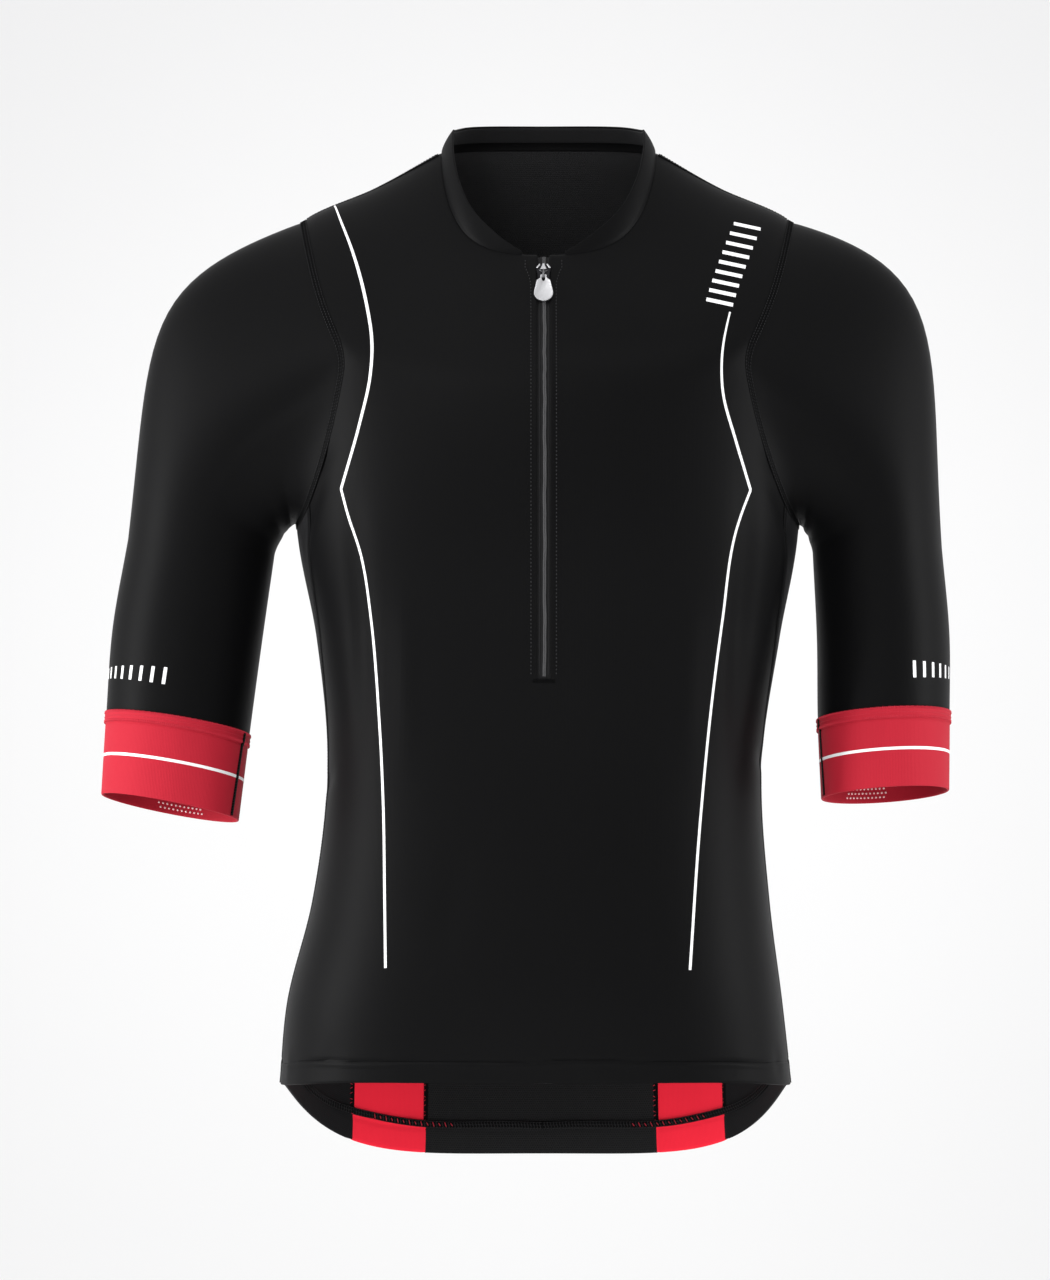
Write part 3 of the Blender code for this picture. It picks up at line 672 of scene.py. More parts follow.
@dataclass
class Paint:
    """One material's node tree, with its Principled shader."""

    name: str
    material: bpy.types.Material = field(init=False)
    shader: bpy.types.Node = field(init=False)

    def __post_init__(self) -> None:
        """Make the material."""
        self.material = bpy.data.materials.new(self.name)
        self.material.use_nodes = True
        self.shader = self.material.node_tree.nodes["Principled BSDF"]

    def add(self, kind: str, settings: dict | None = None,
            values: dict | None = None) -> bpy.types.Node:
        """Add a node.

        Args:
            kind: the node's type.
            settings: its properties, set before its sockets.
            values: what goes into its inputs, by name or number: a constant, Level or socket.

        Returns:
            The node.
        """
        node = self.material.node_tree.nodes.new(kind)
        for key, value in (settings or {}).items():
            setattr(node, key, value)
        for key, value in (values or {}).items():
            self.feed(node.inputs[key], value)
        return node

    def feed(self, target: bpy.types.NodeSocket, value) -> None:
        """Set or link an input socket."""
        source = value.socket if isinstance(value, Level) else value
        if isinstance(source, bpy.types.NodeSocket):
            self.material.node_tree.links.new(source, target)
        else:
            target.default_value = source

    def cloth_place(self) -> tuple[Level, Level]:
        """The place on the cut cloth in mm: across the grain and along it."""
        place = self.add("ShaderNodeUVMap", {"uv_map": "cloth"})
        split = self.add("ShaderNodeSeparateXYZ", values={0: place.outputs[0]})
        return (Level(self, split.outputs[0]) * 1000.0, Level(self, split.outputs[1]) * 1000.0)

    def object_place(self) -> bpy.types.NodeSocket:
        """The place in the garment's own frame, in metres."""
        return self.add("ShaderNodeTexCoord").outputs["Object"]

    def noise(self, scale: float, detail: float = 2.0) -> Level:
        """Soft uneven spots from 0 to 1, by Object coordinates."""
        node = self.add("ShaderNodeTexNoise", {"noise_dimensions": "3D"},
                        {"Vector": self.object_place(), "Scale": scale, "Detail": detail})
        return Level(self, node.outputs["Fac"])

    def mix(self, amount: Level, low, high: Sequence[float]) -> bpy.types.NodeSocket:
        """A colour between a colour, or a colour's socket, and another colour."""
        node = self.add("ShaderNodeMix", {"data_type": "RGBA"}, {
            "Factor": amount, 7: (*high, 1.0),
            6: low if isinstance(low, bpy.types.NodeSocket) else (*low, 1.0)})
        return node.outputs[2]

    def bump(self, height: Level, distance: float) -> None:
        """Feed the shader's normal from a height of 0 to 1, which stands for a distance."""
        node = self.add("ShaderNodeBump", values={"Height": height, "Distance": distance,
                                                  "Strength": 1.0})
        self.set(Normal=node.outputs[0])

    def set(self, **values) -> None:
        """Set or feed the shader's own sockets, with _ for a space."""
        for key, value in values.items():
            self.feed(self.shader.inputs[key.replace("_", " ")], value)


Colour = tuple[float, float, float]


def shade(colour: Colour, amount: float) -> Colour:
    """A colour made lighter or darker by a factor."""
    return tuple(part * amount for part in colour)


class Weave(Enum):
    """How a cloth's yarn lies."""

    JERSEY = "fine upright wales"
    RIBBED = "raised upright ribs"
    NET = "staggered small holes in rows"
    TWILL = "slanting lines of a woven tape"


@dataclass(frozen=True)
class ClothFinish:
    """A cloth: its colours, the weave that shows in them as painted shade in its hollows and
    painted highlight on its raised yarn, and its sheen.

    The cloth is painted paler from a number of mm above its foot upwards, painted light for cloth
    that lies in shade; the last three fields say where this begins, where it is palest and how much
    paler.
    """

    name: str
    slot: str
    colour: Colour
    weave: Weave
    pitch: float
    course: float
    relief: float
    roughness: float = 0.78
    specular: float = 0.12
    sheen: float = 0.05
    sheen_tint: Colour = (0.6, 0.6, 0.62)
    contrast: float = 0.35
    painted_light_from: float = 0.0
    painted_light_full_at: float = 690.0
    painted_light_gain: float = 2.5

    def yarn(self, paint: Paint) -> Level:
        """The yarn's height over the cloth, 0 to 1."""
        across, along = paint.cloth_place()
        wale = across * (math.pi / self.pitch)
        if self.weave is Weave.JERSEY:
            lean = ((along * (math.pi / self.course)).sine().size() - 0.5) * 0.5
            return (wale + lean).sine().size().power(0.7)
        if self.weave is Weave.RIBBED:
            rib = wale.sine().size().power(0.6)
            stitch = (along * (math.pi / self.course)).sine().size()
            return rib * 0.85 + stitch * 0.15
        if self.weave is Weave.NET:
            row = along / self.course
            shift = row.whole() * 0.5
            hole_across = ((across / self.pitch + shift).fraction() - 0.5) * 2.0
            hole_along = (row.fraction() - 0.5) * 2.0
            away = (hole_across * hole_across + hole_along * hole_along).power(0.5)
            return away.between(0.35, 0.8)
        slant = (across + along) * (math.pi / self.pitch)
        return slant.sine().size()

    def material(self) -> bpy.types.Material:
        """A new material, with colour, roughness and bump from the same yarn."""
        paint = Paint(self.name)
        yarn = self.yarn(paint)
        fleck = paint.noise(2600.0, 1.0)
        cloud = paint.noise(14.0, 3.0)
        # Painted shade and highlight: the colour follows the yarn's height, lighter on the raised
        # yarn and darker in the hollows and holes, mixed with random flecks and clouds.
        tone = yarn * 0.55 + fleck * 0.3 + cloud * 0.15
        colour = paint.mix(tone, shade(self.colour, 1 - self.contrast),
                           shade(self.colour, 1 + self.contrast))
        # Painted light: above a height the colour turns towards a paler shade of the cloth's own
        # colour.
        if self.painted_light_from:
            _, along = paint.cloth_place()
            colour = paint.mix(along.between(self.painted_light_from, self.painted_light_full_at), colour,
                               shade(self.colour, self.painted_light_gain))
        paint.set(Base_Color=colour, Roughness=tone * -0.12 + (self.roughness + 0.06),
                  Specular_IOR_Level=self.specular, Sheen_Weight=self.sheen,
                  Sheen_Roughness=0.45, Sheen_Tint=(*self.sheen_tint, 1.0))
        paint.bump(yarn * 0.85 + fleck * 0.15, self.relief)
        return paint.material


@dataclass(frozen=True)
class Finish:
    """Anything but cloth: its colour and gloss vary with fine grain and soft clouds.

    "grain" is the fine noise's scale and detail, "tones" are the darkest and lightest colour
    over the plain one, and "gloss" says how far the roughness varies, and whether by the grain.
    """

    name: str
    slot: str
    colour: Colour
    roughness: float
    grain: Place
    cloud: float
    grain_share: float
    tones: Place
    gloss: tuple[float, bool]
    relief: float
    constants: dict

    def material(self) -> bpy.types.Material:
        """Make the finish's material."""
        paint = Paint(self.name)
        grain, cloud = paint.noise(*self.grain), paint.noise(self.cloud)
        low, high = (shade(self.colour, tone) for tone in self.tones)
        change, by_grain = self.gloss
        paint.set(Base_Color=paint.mix(grain * self.grain_share + cloud * (1 - self.grain_share),
                                       low, high),
                  Roughness=(grain if by_grain else cloud) * change + self.roughness,
                  **self.constants)
        if self.relief:
            paint.bump(grain, self.relief)
        return paint.material


def thread(name: str, slot: str, colour: Colour, specular: float = 0.3,
           sheen: float = 0.08) -> Finish:
    """Sewing thread: a satin yarn with a fine twist."""
    return Finish(name, slot, colour, 0.5, (5200.0, 1.0), 60.0, 0.6, (0.7, 1.3), (0.15, True),
                  0.05 * MM, {"Specular_IOR_Level": specular, "Sheen_Weight": sheen,
                              "Sheen_Roughness": 0.4})


def metal(name: str, slot: str, colour: Colour, roughness: float) -> Finish:
    """A cast and plated metal."""
    return Finish(name, slot, colour, roughness - 0.06, (900.0, 2.0), 240.0, 0.0, (0.85, 1.1),
                  (0.12, True), 0.02 * MM, {"Metallic": 1.0})


BLACK_KNIT = ClothFinish("black fine knit", "black_knit", (0.0016, 0.0016, 0.0018),
                         Weave.JERSEY, 0.9, 0.75, 0.04 * MM, roughness=0.52, specular=0.058,
                         sheen=0.025)
BLACK_SIDE_KNIT = ClothFinish("black side knit", "black_knit", (0.0045, 0.0045, 0.005),
                              Weave.NET, 1.5, 1.2, 0.12 * MM, specular=0.1, sheen=0.08)
# Painted light: the back net's colour is lighter than the front's, and painted paler still towards
# the neck, to make up for the shade on its inner face.
BLACK_NET_PAINTED_PALER = ClothFinish("black back net", "black_mesh", (0.01, 0.01, 0.0104),
                        Weave.NET, 1.6, 1.5, 0.2 * MM, specular=0.06, sheen=0.03, contrast=0.55,
                        painted_light_from=560.0)
RED_RIB = ClothFinish("red ribbed elastic", "red_knit", (0.39, 0.014, 0.028),
                      Weave.RIBBED, 1.0, 0.8, 0.14 * MM, roughness=0.7, specular=0.1,
                      sheen=0.04, sheen_tint=(1.0, 0.4, 0.45), contrast=0.16)
# Painted light: the stripes' red is much lighter than the cuffs', to make up for the shade they lie
# in where they are seen inside the hem.
RED_KNIT_PAINTED_LIGHTER = ClothFinish("red stripe knit", "red_knit", (0.86, 0.018, 0.042),
                       Weave.JERSEY, 0.9, 0.75, 0.06 * MM, roughness=0.7, specular=0.1,
                       sheen=0.04, sheen_tint=(1.0, 0.4, 0.45), contrast=0.12)
BLACK_TAPE = ClothFinish("black woven tape", "black_tape", (0.011, 0.011, 0.0115),
                         Weave.TWILL, 0.8, 0.8, 0.08 * MM, roughness=0.6, specular=0.08)
BLACK_THREAD = thread("black thread", "black_knit", (0.0014, 0.0014, 0.0016), 0.04, 0.01)
GREY_THREAD = thread("dark grey thread", "black_knit", (0.016, 0.016, 0.017), 0.12, 0.03)
# Painted highlight: the zip coil's rolls and teeth are painted pale grey where the ridge of the
# closed coil catches the light.
COIL_HIGHLIGHT_THREAD = thread("grey thread", "black_tape", (0.052, 0.052, 0.054), 0.35)
RED_THREAD = thread("red thread", "red_knit", (0.45, 0.015, 0.033), 0.15)
SILVER = metal("silver plating", "silver_metal", (0.5, 0.5, 0.515), 0.36)
# Painted highlight in part: this mid grey on the slider's bridge and smile stands between the dark
# metal's glints and its shade.
GREY_GLINT_METAL = metal("grey plating", "dark_metal", (0.13, 0.13, 0.135), 0.38)
GUNMETAL = metal("dark plating", "dark_metal", (0.022, 0.022, 0.024), 0.42)
# Painted light: besides its pale colour the ink glows faintly, a painted glow.
WHITE_INK = Finish("pale reflective ink", "silver_metal", (0.86, 0.86, 0.87), 0.38,
                   (3600.0, 1.0), 45.0, 0.5, (0.9, 1.0), (0.1, False), 0.03 * MM,
                   {"Specular_IOR_Level": 0.5, "Emission_Strength": 0.04,
                    "Emission_Color": (0.86, 0.86, 0.87, 1.0)})
SILICONE = Finish("silicone", "red_knit", (0.95, 0.62, 0.64), 0.2, (400.0, 2.0), 400.0, 0.0,
                  (0.92, 1.0), (0.1, False), 0.0,
                  {"Specular_IOR_Level": 0.5, "Coat_Weight": 0.3})


# ---- making meshes

_MATERIALS: dict[str, bpy.types.Material] = {}


def dress(piece: Piece, finish, body: str = GARMENT) -> Piece:
    """Give a finished piece its material and the body it rides on.

    Args:
        piece: the object, at the origin.
        finish: any of the finishes above.
        body: the name of the body.

    Returns:
        The same object.
    """
    if finish.name not in _MATERIALS:
        _MATERIALS[finish.name] = finish.material()
    piece.data.materials.clear()
    piece.data.materials.append(_MATERIALS[finish.name])
    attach(piece, body)
    return piece


def mesh_piece(name: str, points: Iterable, faces: Iterable, smooth_angle: float = 40.0,
               flat: Sequence[Place] | None = None) -> Piece:
    """Make an object from points and faces.

    Args:
        name: the piece's name.
        points: its vertices.
        faces: its faces, facing out.
        smooth_angle: edges sharper than this many degrees stay sharp.
        flat: the place on the cut cloth for each corner of each face, in metres.

    Returns:
        The object, linked to the scene.
    """
    mesh = bpy.data.meshes.new(name)
    mesh.from_pydata([tuple(point) for point in points], [], list(faces))
    if flat is not None:
        layer = mesh.uv_layers.new(name="cloth")
        layer.data.foreach_set("uv", [part for place in flat for part in place])
    mesh.shade_smooth()
    mesh.set_sharp_from_angle(angle=math.radians(smooth_angle))
    piece = bpy.data.objects.new(name, mesh)
    bpy.context.scene.collection.objects.link(piece)
    return piece


@dataclass
class Net:
    """A rectangular net of cloth: outer points, normals and thicknesses by row and column."""

    points: list[list[Vector]]
    normals: list[list[Vector]]
    depths: list[list[float]]
    wraps: bool = False
    missing: set[tuple[int, int]] = field(default_factory=set)

    @property
    def rows(self) -> int:
        """How many rows of points there are."""
        return len(self.points)

    @property
    def columns(self) -> int:
        """How many columns of points there are."""
        return len(self.points[0])

    def flat_places(self) -> list[list[Place]]:
        """Each point's place on the cut cloth, measured from the middle column, in metres."""
        middle = 0 if self.wraps else self.columns // 2
        places = []
        for line, high in zip(self.points, lengths_along([line[middle] for line in self.points])):
            lengths = lengths_along(line + line[:1] if self.wraps else line)
            places.append([(length - lengths[middle], high) for length in lengths])
        return places

    def cut(self) -> tuple[float, float, float]:
        """The cut's width, length and area, in metres, flattened row by row."""
        area = 0.0
        for cell in self.cells():
            a, b, c, d = (self.points[row][column % self.columns] for row, column in cell)
            area += (c - a).cross(d - b).length / 2
        return (max(line[-1][0] - line[0][0] for line in self.flat_places()),
                max(lengths_along(column)[-1] for column in zip(*self.points)), area)

    def tuck(self, sides: Iterable[str], depth: float = 0.35, width: float = 1.1) -> None:
        """Let the cloth dip into its seams.

        Args:
            sides: any of bottom, top, left and right.
            depth: how far it dips, in mm.
            width: how far from the seam the dip reaches, in mm.
        """
        moves: dict[tuple[int, int], float] = {}
        for side in sides:
            across = side in ("bottom", "top")
            runs = self.columns if across else self.rows
            steps = self.rows if across else self.columns
            for run in range(runs):
                away = 0.0
                last = None
                for step in range(steps):
                    inner = step if side in ("bottom", "left") else steps - 1 - step
                    place = (inner, run) if across else (run, inner)
                    point = self.points[place[0]][place[1]]
                    away += (point - last).length / MM if last is not None else 0.0
                    last = point
                    if away > 3 * width:
                        break
                    moves[place] = max(moves.get(place, 0.0), hump(away, width))
        for (row, column), share in moves.items():
            normal = self.normals[row][column]
            self.points[row][column] = self.points[row][column] - normal * share * depth * MM

    def draw_in(self, sides: Iterable[str], amount: float = 0.15 * MM) -> None:
        """Move edges inwards in the cloth, to leave half a seam's gap."""
        moves: dict[tuple[int, int], list[Vector]] = {}
        for side in sides:
            level = side in ("bottom", "top")
            count = self.columns if level else self.rows
            fixed = {"bottom": 0, "left": 0, "top": self.rows - 1,
                     "right": self.columns - 1}[side]
            step = 1 if fixed == 0 else -1
            for i in range(count):
                row, column = (fixed, i) if level else (i, fixed)
                inner = self.points[row + step][column] if level else \
                    self.points[row][column + step]
                away = inner - self.points[row][column]
                moves.setdefault((row, column), []).append(away.normalized() * amount)
        for (row, column), steps in moves.items():
            self.points[row][column] = self.points[row][column] + sum(steps, Vector())

    def cells(self) -> list[tuple[tuple[int, int], ...]]:
        """The corners of each square of the net that is there, row and unwrapped column."""
        spans = self.columns if self.wraps else self.columns - 1
        return [((r, c), (r, c + 1), (r + 1, c + 1), (r + 1, c))
                for r in range(self.rows - 1) for c in range(spans)
                if (r, c) not in self.missing]

    def build(self, name: str) -> Piece:
        """Make a closed shell: an outer skin, an inner skin and rounded edges.

        Args:
            name: the piece's name.

        Returns:
            The piece, with the cut's places as its UV map "cloth".
        """
        cells = self.cells()
        first = [self.points[r][c % self.columns] for r, c in cells[0]]
        facing = (first[2] - first[0]).cross(first[3] - first[1])
        if facing.dot(self.normals[cells[0][0][0]][cells[0][0][1]]) < 0:
            cells = [tuple(reversed(cell)) for cell in cells]
        places = self.flat_places()
        index: dict[tuple[int, int, int], int] = {}
        verts: list[Vector] = []
        centres: dict[tuple[int, int], list[Vector]] = {}
        edges: dict[tuple, tuple] = {}
        for cell in cells:
            middle = sum((self.points[r][c % self.columns] for r, c in cell), Vector()) / 4
            for i, corner in enumerate(cell):
                after = cell[(i + 1) % 4]
                here = (corner[0], corner[1] % self.columns)
                there = (after[0], after[1] % self.columns)
                centres.setdefault(here, []).append(middle)
                if (there, here) in edges:
                    del edges[(there, here)]
                else:
                    edges[(here, there)] = (corner, after)
        faces, flat = [], []

        def add(corners: Sequence[tuple[int, tuple[int, int]]]) -> None:
            """Add a face through corners given as skin and place."""
            faces.append([index[(skin, row, column % self.columns)]
                          for skin, (row, column) in corners])
            flat.extend(places[row][column] for _, (row, column) in corners)

        outer_skin = ((0, 0.0, 0.0), (1, 1.0, 0.0))
        rim_skin = ((2, 0.2, 0.3), (3, 0.8, 0.3))
        rim = {place for edge in edges for place in edge}
        for skins, skin_places in ((outer_skin, centres), (rim_skin, rim)):
            for (row, column) in sorted(skin_places):
                point, normal = self.points[row][column], self.normals[row][column]
                depth = self.depths[row][column] * MM
                near = centres[(row, column)]
                out = point - sum(near, Vector()) / len(near)
                out = (out - normal * out.dot(normal)).normalized()
                for skin, deep, beyond in skins:
                    index[(skin, row, column)] = len(verts)
                    verts.append(point - normal * depth * deep + out * depth * beyond)
        for cell in cells:
            add([(0, corner) for corner in cell])
            add([(1, corner) for corner in reversed(cell)])
        for start, end in edges.values():
            for near, far in ((0, 2), (2, 3), (3, 1)):
                add([(near, end), (near, start), (far, start), (far, end)])
        return mesh_piece(name, verts, faces, 50.0, flat)


def sew(name: str, node: str, net: Net, finish: ClothFinish, hangs_from: Sequence[str],
        tucked: Sequence[str] = (), drawn: Sequence[str] = (), **dip: float) -> Piece:
    """Close a net into a piece of cloth, dress it and declare its cut.

    Args:
        name: the piece's name.
        node: the solid that it stands for.
        net: its net.
        finish: its cloth.
        hangs_from: the pieces it is sewn to above; not used.
        tucked: the edges that dip into their seams.
        drawn: the edges that leave half a seam's gap.
        dip: the dip's depth and width, where they aren't the usual ones.

    Returns:
        The piece.
    """
    width, length, area = net.cut()
    net.tuck(tucked, **dip)
    net.draw_in(drawn)
    piece = dress(net.build(name), finish)
    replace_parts(piece, node)
    LOG.info("%s: cut %.0f x %.0f mm, %.0f cm2", name, width / MM, length / MM, area * 1e4)
    return piece


class Spot(NamedTuple):
    """A place on a run of sewing: where it is, and its directions out, ahead, left and right."""

    point: Vector
    normal: Vector
    ahead: Vector
    left: Vector
    right: Vector

    def beside(self, across: float, lift: float, ahead: float = 0.0) -> Vector:
        """The point a number of mm to the right, above the cloth and ahead."""
        away = self.right * across if across > 0 else self.left * -across
        return self.point + (away + self.normal * lift + self.ahead * ahead) * MM


def run_of(samples: Sequence[Sample], pitch: float,
           sides: Sequence[Sample] | None = None,
           closed: bool = False) -> list[Spot]:
    """Spots at even steps along a sampled line.

    Args:
        samples: points and normals, closer together than the pitch or about so.
        pitch: the step in mm.
        sides: the directions to the left and right at each sample, where they are bent.
        closed: whether the line comes round to its start.

    Returns:
        The spots, from the first sample to the last.
    """
    line = list(samples) + ([samples[0]] if closed else [])
    edges = None if sides is None else list(sides) + ([sides[0]] if closed else [])
    lengths = lengths_along([point for point, _ in line])
    count = max(int(round(lengths[-1] / (pitch * MM))), 1)
    spots = []
    span = 0
    for i in range(count if closed else count + 1):
        target = lengths[-1] * i / count
        while span < len(line) - 2 and lengths[span + 1] < target:
            span += 1
        step = max(lengths[span + 1] - lengths[span], 1e-9)
        share = min((target - lengths[span]) / step, 1.0)
        point = line[span][0].lerp(line[span + 1][0], share)
        normal = line[span][1].lerp(line[span + 1][1], share).normalized()
        low, high = max(span - 1, 0), min(span + 2, len(line) - 1)
        before = line[low][0].lerp(line[low + 1][0], share)
        after = line[high - 1][0].lerp(line[high][0], share)
        ahead = after - before if (after - before).length > 1e-9 else line[-1][0] - line[0][0]
        ahead = (ahead - normal * ahead.dot(normal)).normalized()
        right = ahead.cross(normal).normalized()
        left = -right
        if edges is not None:
            left = edges[span][0].lerp(edges[span + 1][0], share).normalized()
            right = edges[span][1].lerp(edges[span + 1][1], share).normalized()
        spots.append(Spot(point, normal, ahead, left, right))
    return spots


def ribbon(name: str, spots: Sequence[Spot], profile: Sequence[Place],
           closed: bool = False) -> Piece:
    """Sweep a closed cross-section along a run, with ends filled.

    Args:
        name: the piece's name.
        spots: the run.
        profile: places across and above the cloth in mm, from the left edge over the top to
            the right edge and back below.
        closed: whether the run comes round to its start.

    Returns:
        The piece, its UV map "cloth" across and along the run.
    """
    size = len(profile)
    verts = [spot.beside(across, lift) for spot in spots for across, lift in profile]
    lengths = lengths_along([spot.point for spot in list(spots) + list(spots[:1]) * closed])
    faces, flat = [], []
    spans = len(spots) if closed else len(spots) - 1
    for i in range(spans):
        after = (i + 1) % len(spots)
        for j in range(size):
            k = (j + 1) % size
            faces.append((i * size + j, after * size + j, after * size + k, i * size + k))
            flat.extend(((profile[j][0] * MM, lengths[i]), (profile[j][0] * MM, lengths[i + 1]),
                         (profile[k][0] * MM, lengths[i + 1]), (profile[k][0] * MM, lengths[i])))
    if not closed:
        last = (len(spots) - 1) * size
        faces.append(tuple(reversed([last + j for j in range(size)])))
        faces.append(tuple(range(size)))
        flat.extend((profile[j][0] * MM, lengths[-1]) for j in reversed(range(size)))
        flat.extend((profile[j][0] * MM, 0.0) for j in range(size))
    piece = mesh_piece(name, verts, faces, 50.0, flat)
    face_out(piece)
    return piece


def face_out(piece: Piece) -> None:
    """Turn a closed piece's faces outwards."""
    bm = bmesh.new()
    bm.from_mesh(piece.data)
    bmesh.ops.recalc_face_normals(bm, faces=bm.faces)
    if bm.calc_volume(signed=True) < 0:
        bmesh.ops.reverse_faces(bm, faces=bm.faces)
    bm.to_mesh(piece.data)
    bm.free()


# ---- modelling with operators

class Bench:
    """Blender's own modelling operators, one piece at a time."""

    @staticmethod
    def clear() -> None:
        """Deselect everything."""
        if bpy.context.object and bpy.context.object.mode != "OBJECT":
            bpy.ops.object.mode_set(mode="OBJECT")
        bpy.ops.object.select_all(action="DESELECT")

    @staticmethod
    def pick(piece: Piece) -> None:
        """Make a piece the only selected and active one."""
        Bench.clear()
        piece.select_set(True)
        bpy.context.view_layer.objects.active = piece

    @staticmethod
    def edit(piece: Piece, wanted: Callable[[bmesh.types.BMFace], bool],
             work: Callable[[], None]) -> None:
        """Select faces by a test and run edit-mode operators on them.

        Args:
            piece: the object.
            wanted: says of a face whether it is selected.
            work: calls the operators.
        """
        Bench.pick(piece)
        bpy.ops.object.mode_set(mode="EDIT")
        bpy.ops.mesh.select_mode(type="FACE")
        bpy.ops.mesh.select_all(action="DESELECT")
        bm = bmesh.from_edit_mesh(piece.data)
        for face in bm.faces:
            face.select_set(wanted(face))
        bmesh.update_edit_mesh(piece.data)
        work()
        bpy.ops.object.mode_set(mode="OBJECT")

    @staticmethod
    def edit_all(piece: Piece, work: Callable[[], None]) -> None:
        """Run edit-mode operators on all faces."""
        Bench.edit(piece, lambda face: True, work)

    @staticmethod
    def add(kind: str, **settings) -> Piece:
        """Add a primitive, with its place and turn in its mesh."""
        Bench.clear()
        getattr(bpy.ops.mesh, "primitive_%s_add" % kind)(**settings)
        bpy.ops.object.transform_apply(location=True, rotation=True, scale=True)
        return bpy.context.object

    @staticmethod
    def shape(piece: Piece, move: Callable[[Vector], Vector]) -> None:
        """Move every vertex by a function of its place."""
        for vert in piece.data.vertices:
            vert.co = move(vert.co)

    @staticmethod
    def cut(piece: Piece, place: Sequence[float], keep: Sequence[float]) -> None:
        """Cut off and close what lies at a place and not on the side that "keep" points to."""
        Bench.edit_all(piece, lambda: bpy.ops.mesh.bisect(
            plane_co=place, plane_no=keep, use_fill=True, clear_inner=True))

    @staticmethod
    def modify(piece: Piece, kind: str, **settings) -> None:
        """Add a modifier and apply it."""
        Bench.pick(piece)
        modifier = piece.modifiers.new(kind.lower(), kind)
        for key, value in settings.items():
            setattr(modifier, key, value)
        bpy.ops.object.modifier_apply(modifier=modifier.name)

    @staticmethod
    def bevel(piece: Piece, width: float, angle: float) -> None:
        """Round the edges sharper than an angle in degrees."""
        Bench.modify(piece, "BEVEL", width=width, segments=3, limit_method="ANGLE",
                     angle_limit=math.radians(angle))

    @staticmethod
    def smooth(piece: Piece, angle: float) -> None:
        """Shade a piece smooth up to an angle."""
        Bench.pick(piece)
        bpy.ops.object.shade_smooth_by_angle(angle=math.radians(angle))

    @staticmethod
    def join(pieces: Sequence[Piece], name: str) -> Piece:
        """Join pieces into the first and name it."""
        Bench.clear()
        for piece in pieces:
            piece.select_set(True)
        bpy.context.view_layer.objects.active = pieces[0]
        bpy.ops.object.join()
        pieces[0].name = pieces[0].data.name = name
        return pieces[0]

    @staticmethod
    def take(piece: Piece) -> tuple[np.ndarray, list[list[int]]]:
        """Read a small form's points and faces, and remove it."""
        points = np.array([tuple(vert.co) for vert in piece.data.vertices])
        faces = [list(face.vertices) for face in piece.data.polygons]
        bpy.data.objects.remove(piece, do_unlink=True)
        return points, faces


def thread_form() -> tuple[np.ndarray, list[list[int]]]:
    """One stitch: a short rounded stretch of thread along X, a unit long and thick."""
    stitch = Bench.add("cylinder", vertices=6, radius=0.5, depth=1.0,
                       rotation=(0, math.pi / 2, 0))

    def round_end() -> None:
        """Draw the end faces in to blunt tips."""
        bpy.ops.mesh.extrude_region_move(TRANSFORM_OT_translate={"value": (0, 0, 0)})
        bpy.ops.transform.resize(value=(1.0, 0.45, 0.45))

    for sign in (-1, 1):
        Bench.edit(stitch, lambda face: face.normal.x * sign > 0.9, round_end)
    Bench.shape(stitch, lambda co: Vector((
        co.x * (0.72 if math.hypot(co.y, co.z) > 0.4 else 1.0), co.y, co.z)))
    return Bench.take(stitch)


def drop_form() -> tuple[np.ndarray, list[list[int]]]:
    """One silicone drop: a low dome of unit radius, cut flat below."""
    drop = Bench.add("uv_sphere", segments=10, ring_count=8, radius=1.0)
    Bench.cut(drop, (0, 0, -0.02), (0, 0, 1))
    return Bench.take(drop)


@dataclass
class Scatter:
    """Collects the places of one small form and joins all its copies in one mesh."""

    form: tuple[np.ndarray, list[list[int]]]
    frames: list[tuple] = field(default_factory=list)

    def stitch(self, start: Vector, end: Vector, normal: Vector, thick: float) -> None:
        """Lay one stitch from start to end, thick in mm."""
        along = end - start
        across = normal.cross(along).normalized()
        up = along.cross(across).normalized()
        self.frames.append((start.lerp(end, 0.5), along, across * thick * MM, up * thick * MM))

    def lay(self, here: Spot, start: Sequence[float], end: Sequence[float],
            thick: float) -> None:
        """Lay one stitch between two places given as mm across, above and ahead of a spot."""
        self.stitch(here.beside(*start), here.beside(*end), here.normal, thick)

    def drop(self, point: Vector, normal: Vector, radius: float, height: float) -> None:
        """Set one drop on a surface, its radius and height in mm."""
        side = normal.orthogonal().normalized()
        self.frames.append((point, side * radius * MM, normal.cross(side) * radius * MM,
                            normal * height * MM))

    def build(self, name: str, smooth_angle: float = 60.0) -> Piece:
        """Join all copies."""
        points, faces = self.form
        frames = np.array([[tuple(part) for part in item] for item in self.frames])
        verts = (frames[:, None, 0, :] + points[None, :, 0, None] * frames[:, None, 1, :]
                 + points[None, :, 1, None] * frames[:, None, 2, :]
                 + points[None, :, 2, None] * frames[:, None, 3, :]).reshape(-1, 3)
        size = len(points)
        joined = [[index + size * copy for index in face]
                  for copy in range(len(self.frames)) for face in faces]
        return mesh_piece(name, verts.tolist(), joined, smooth_angle)


# ---- the camera's rays

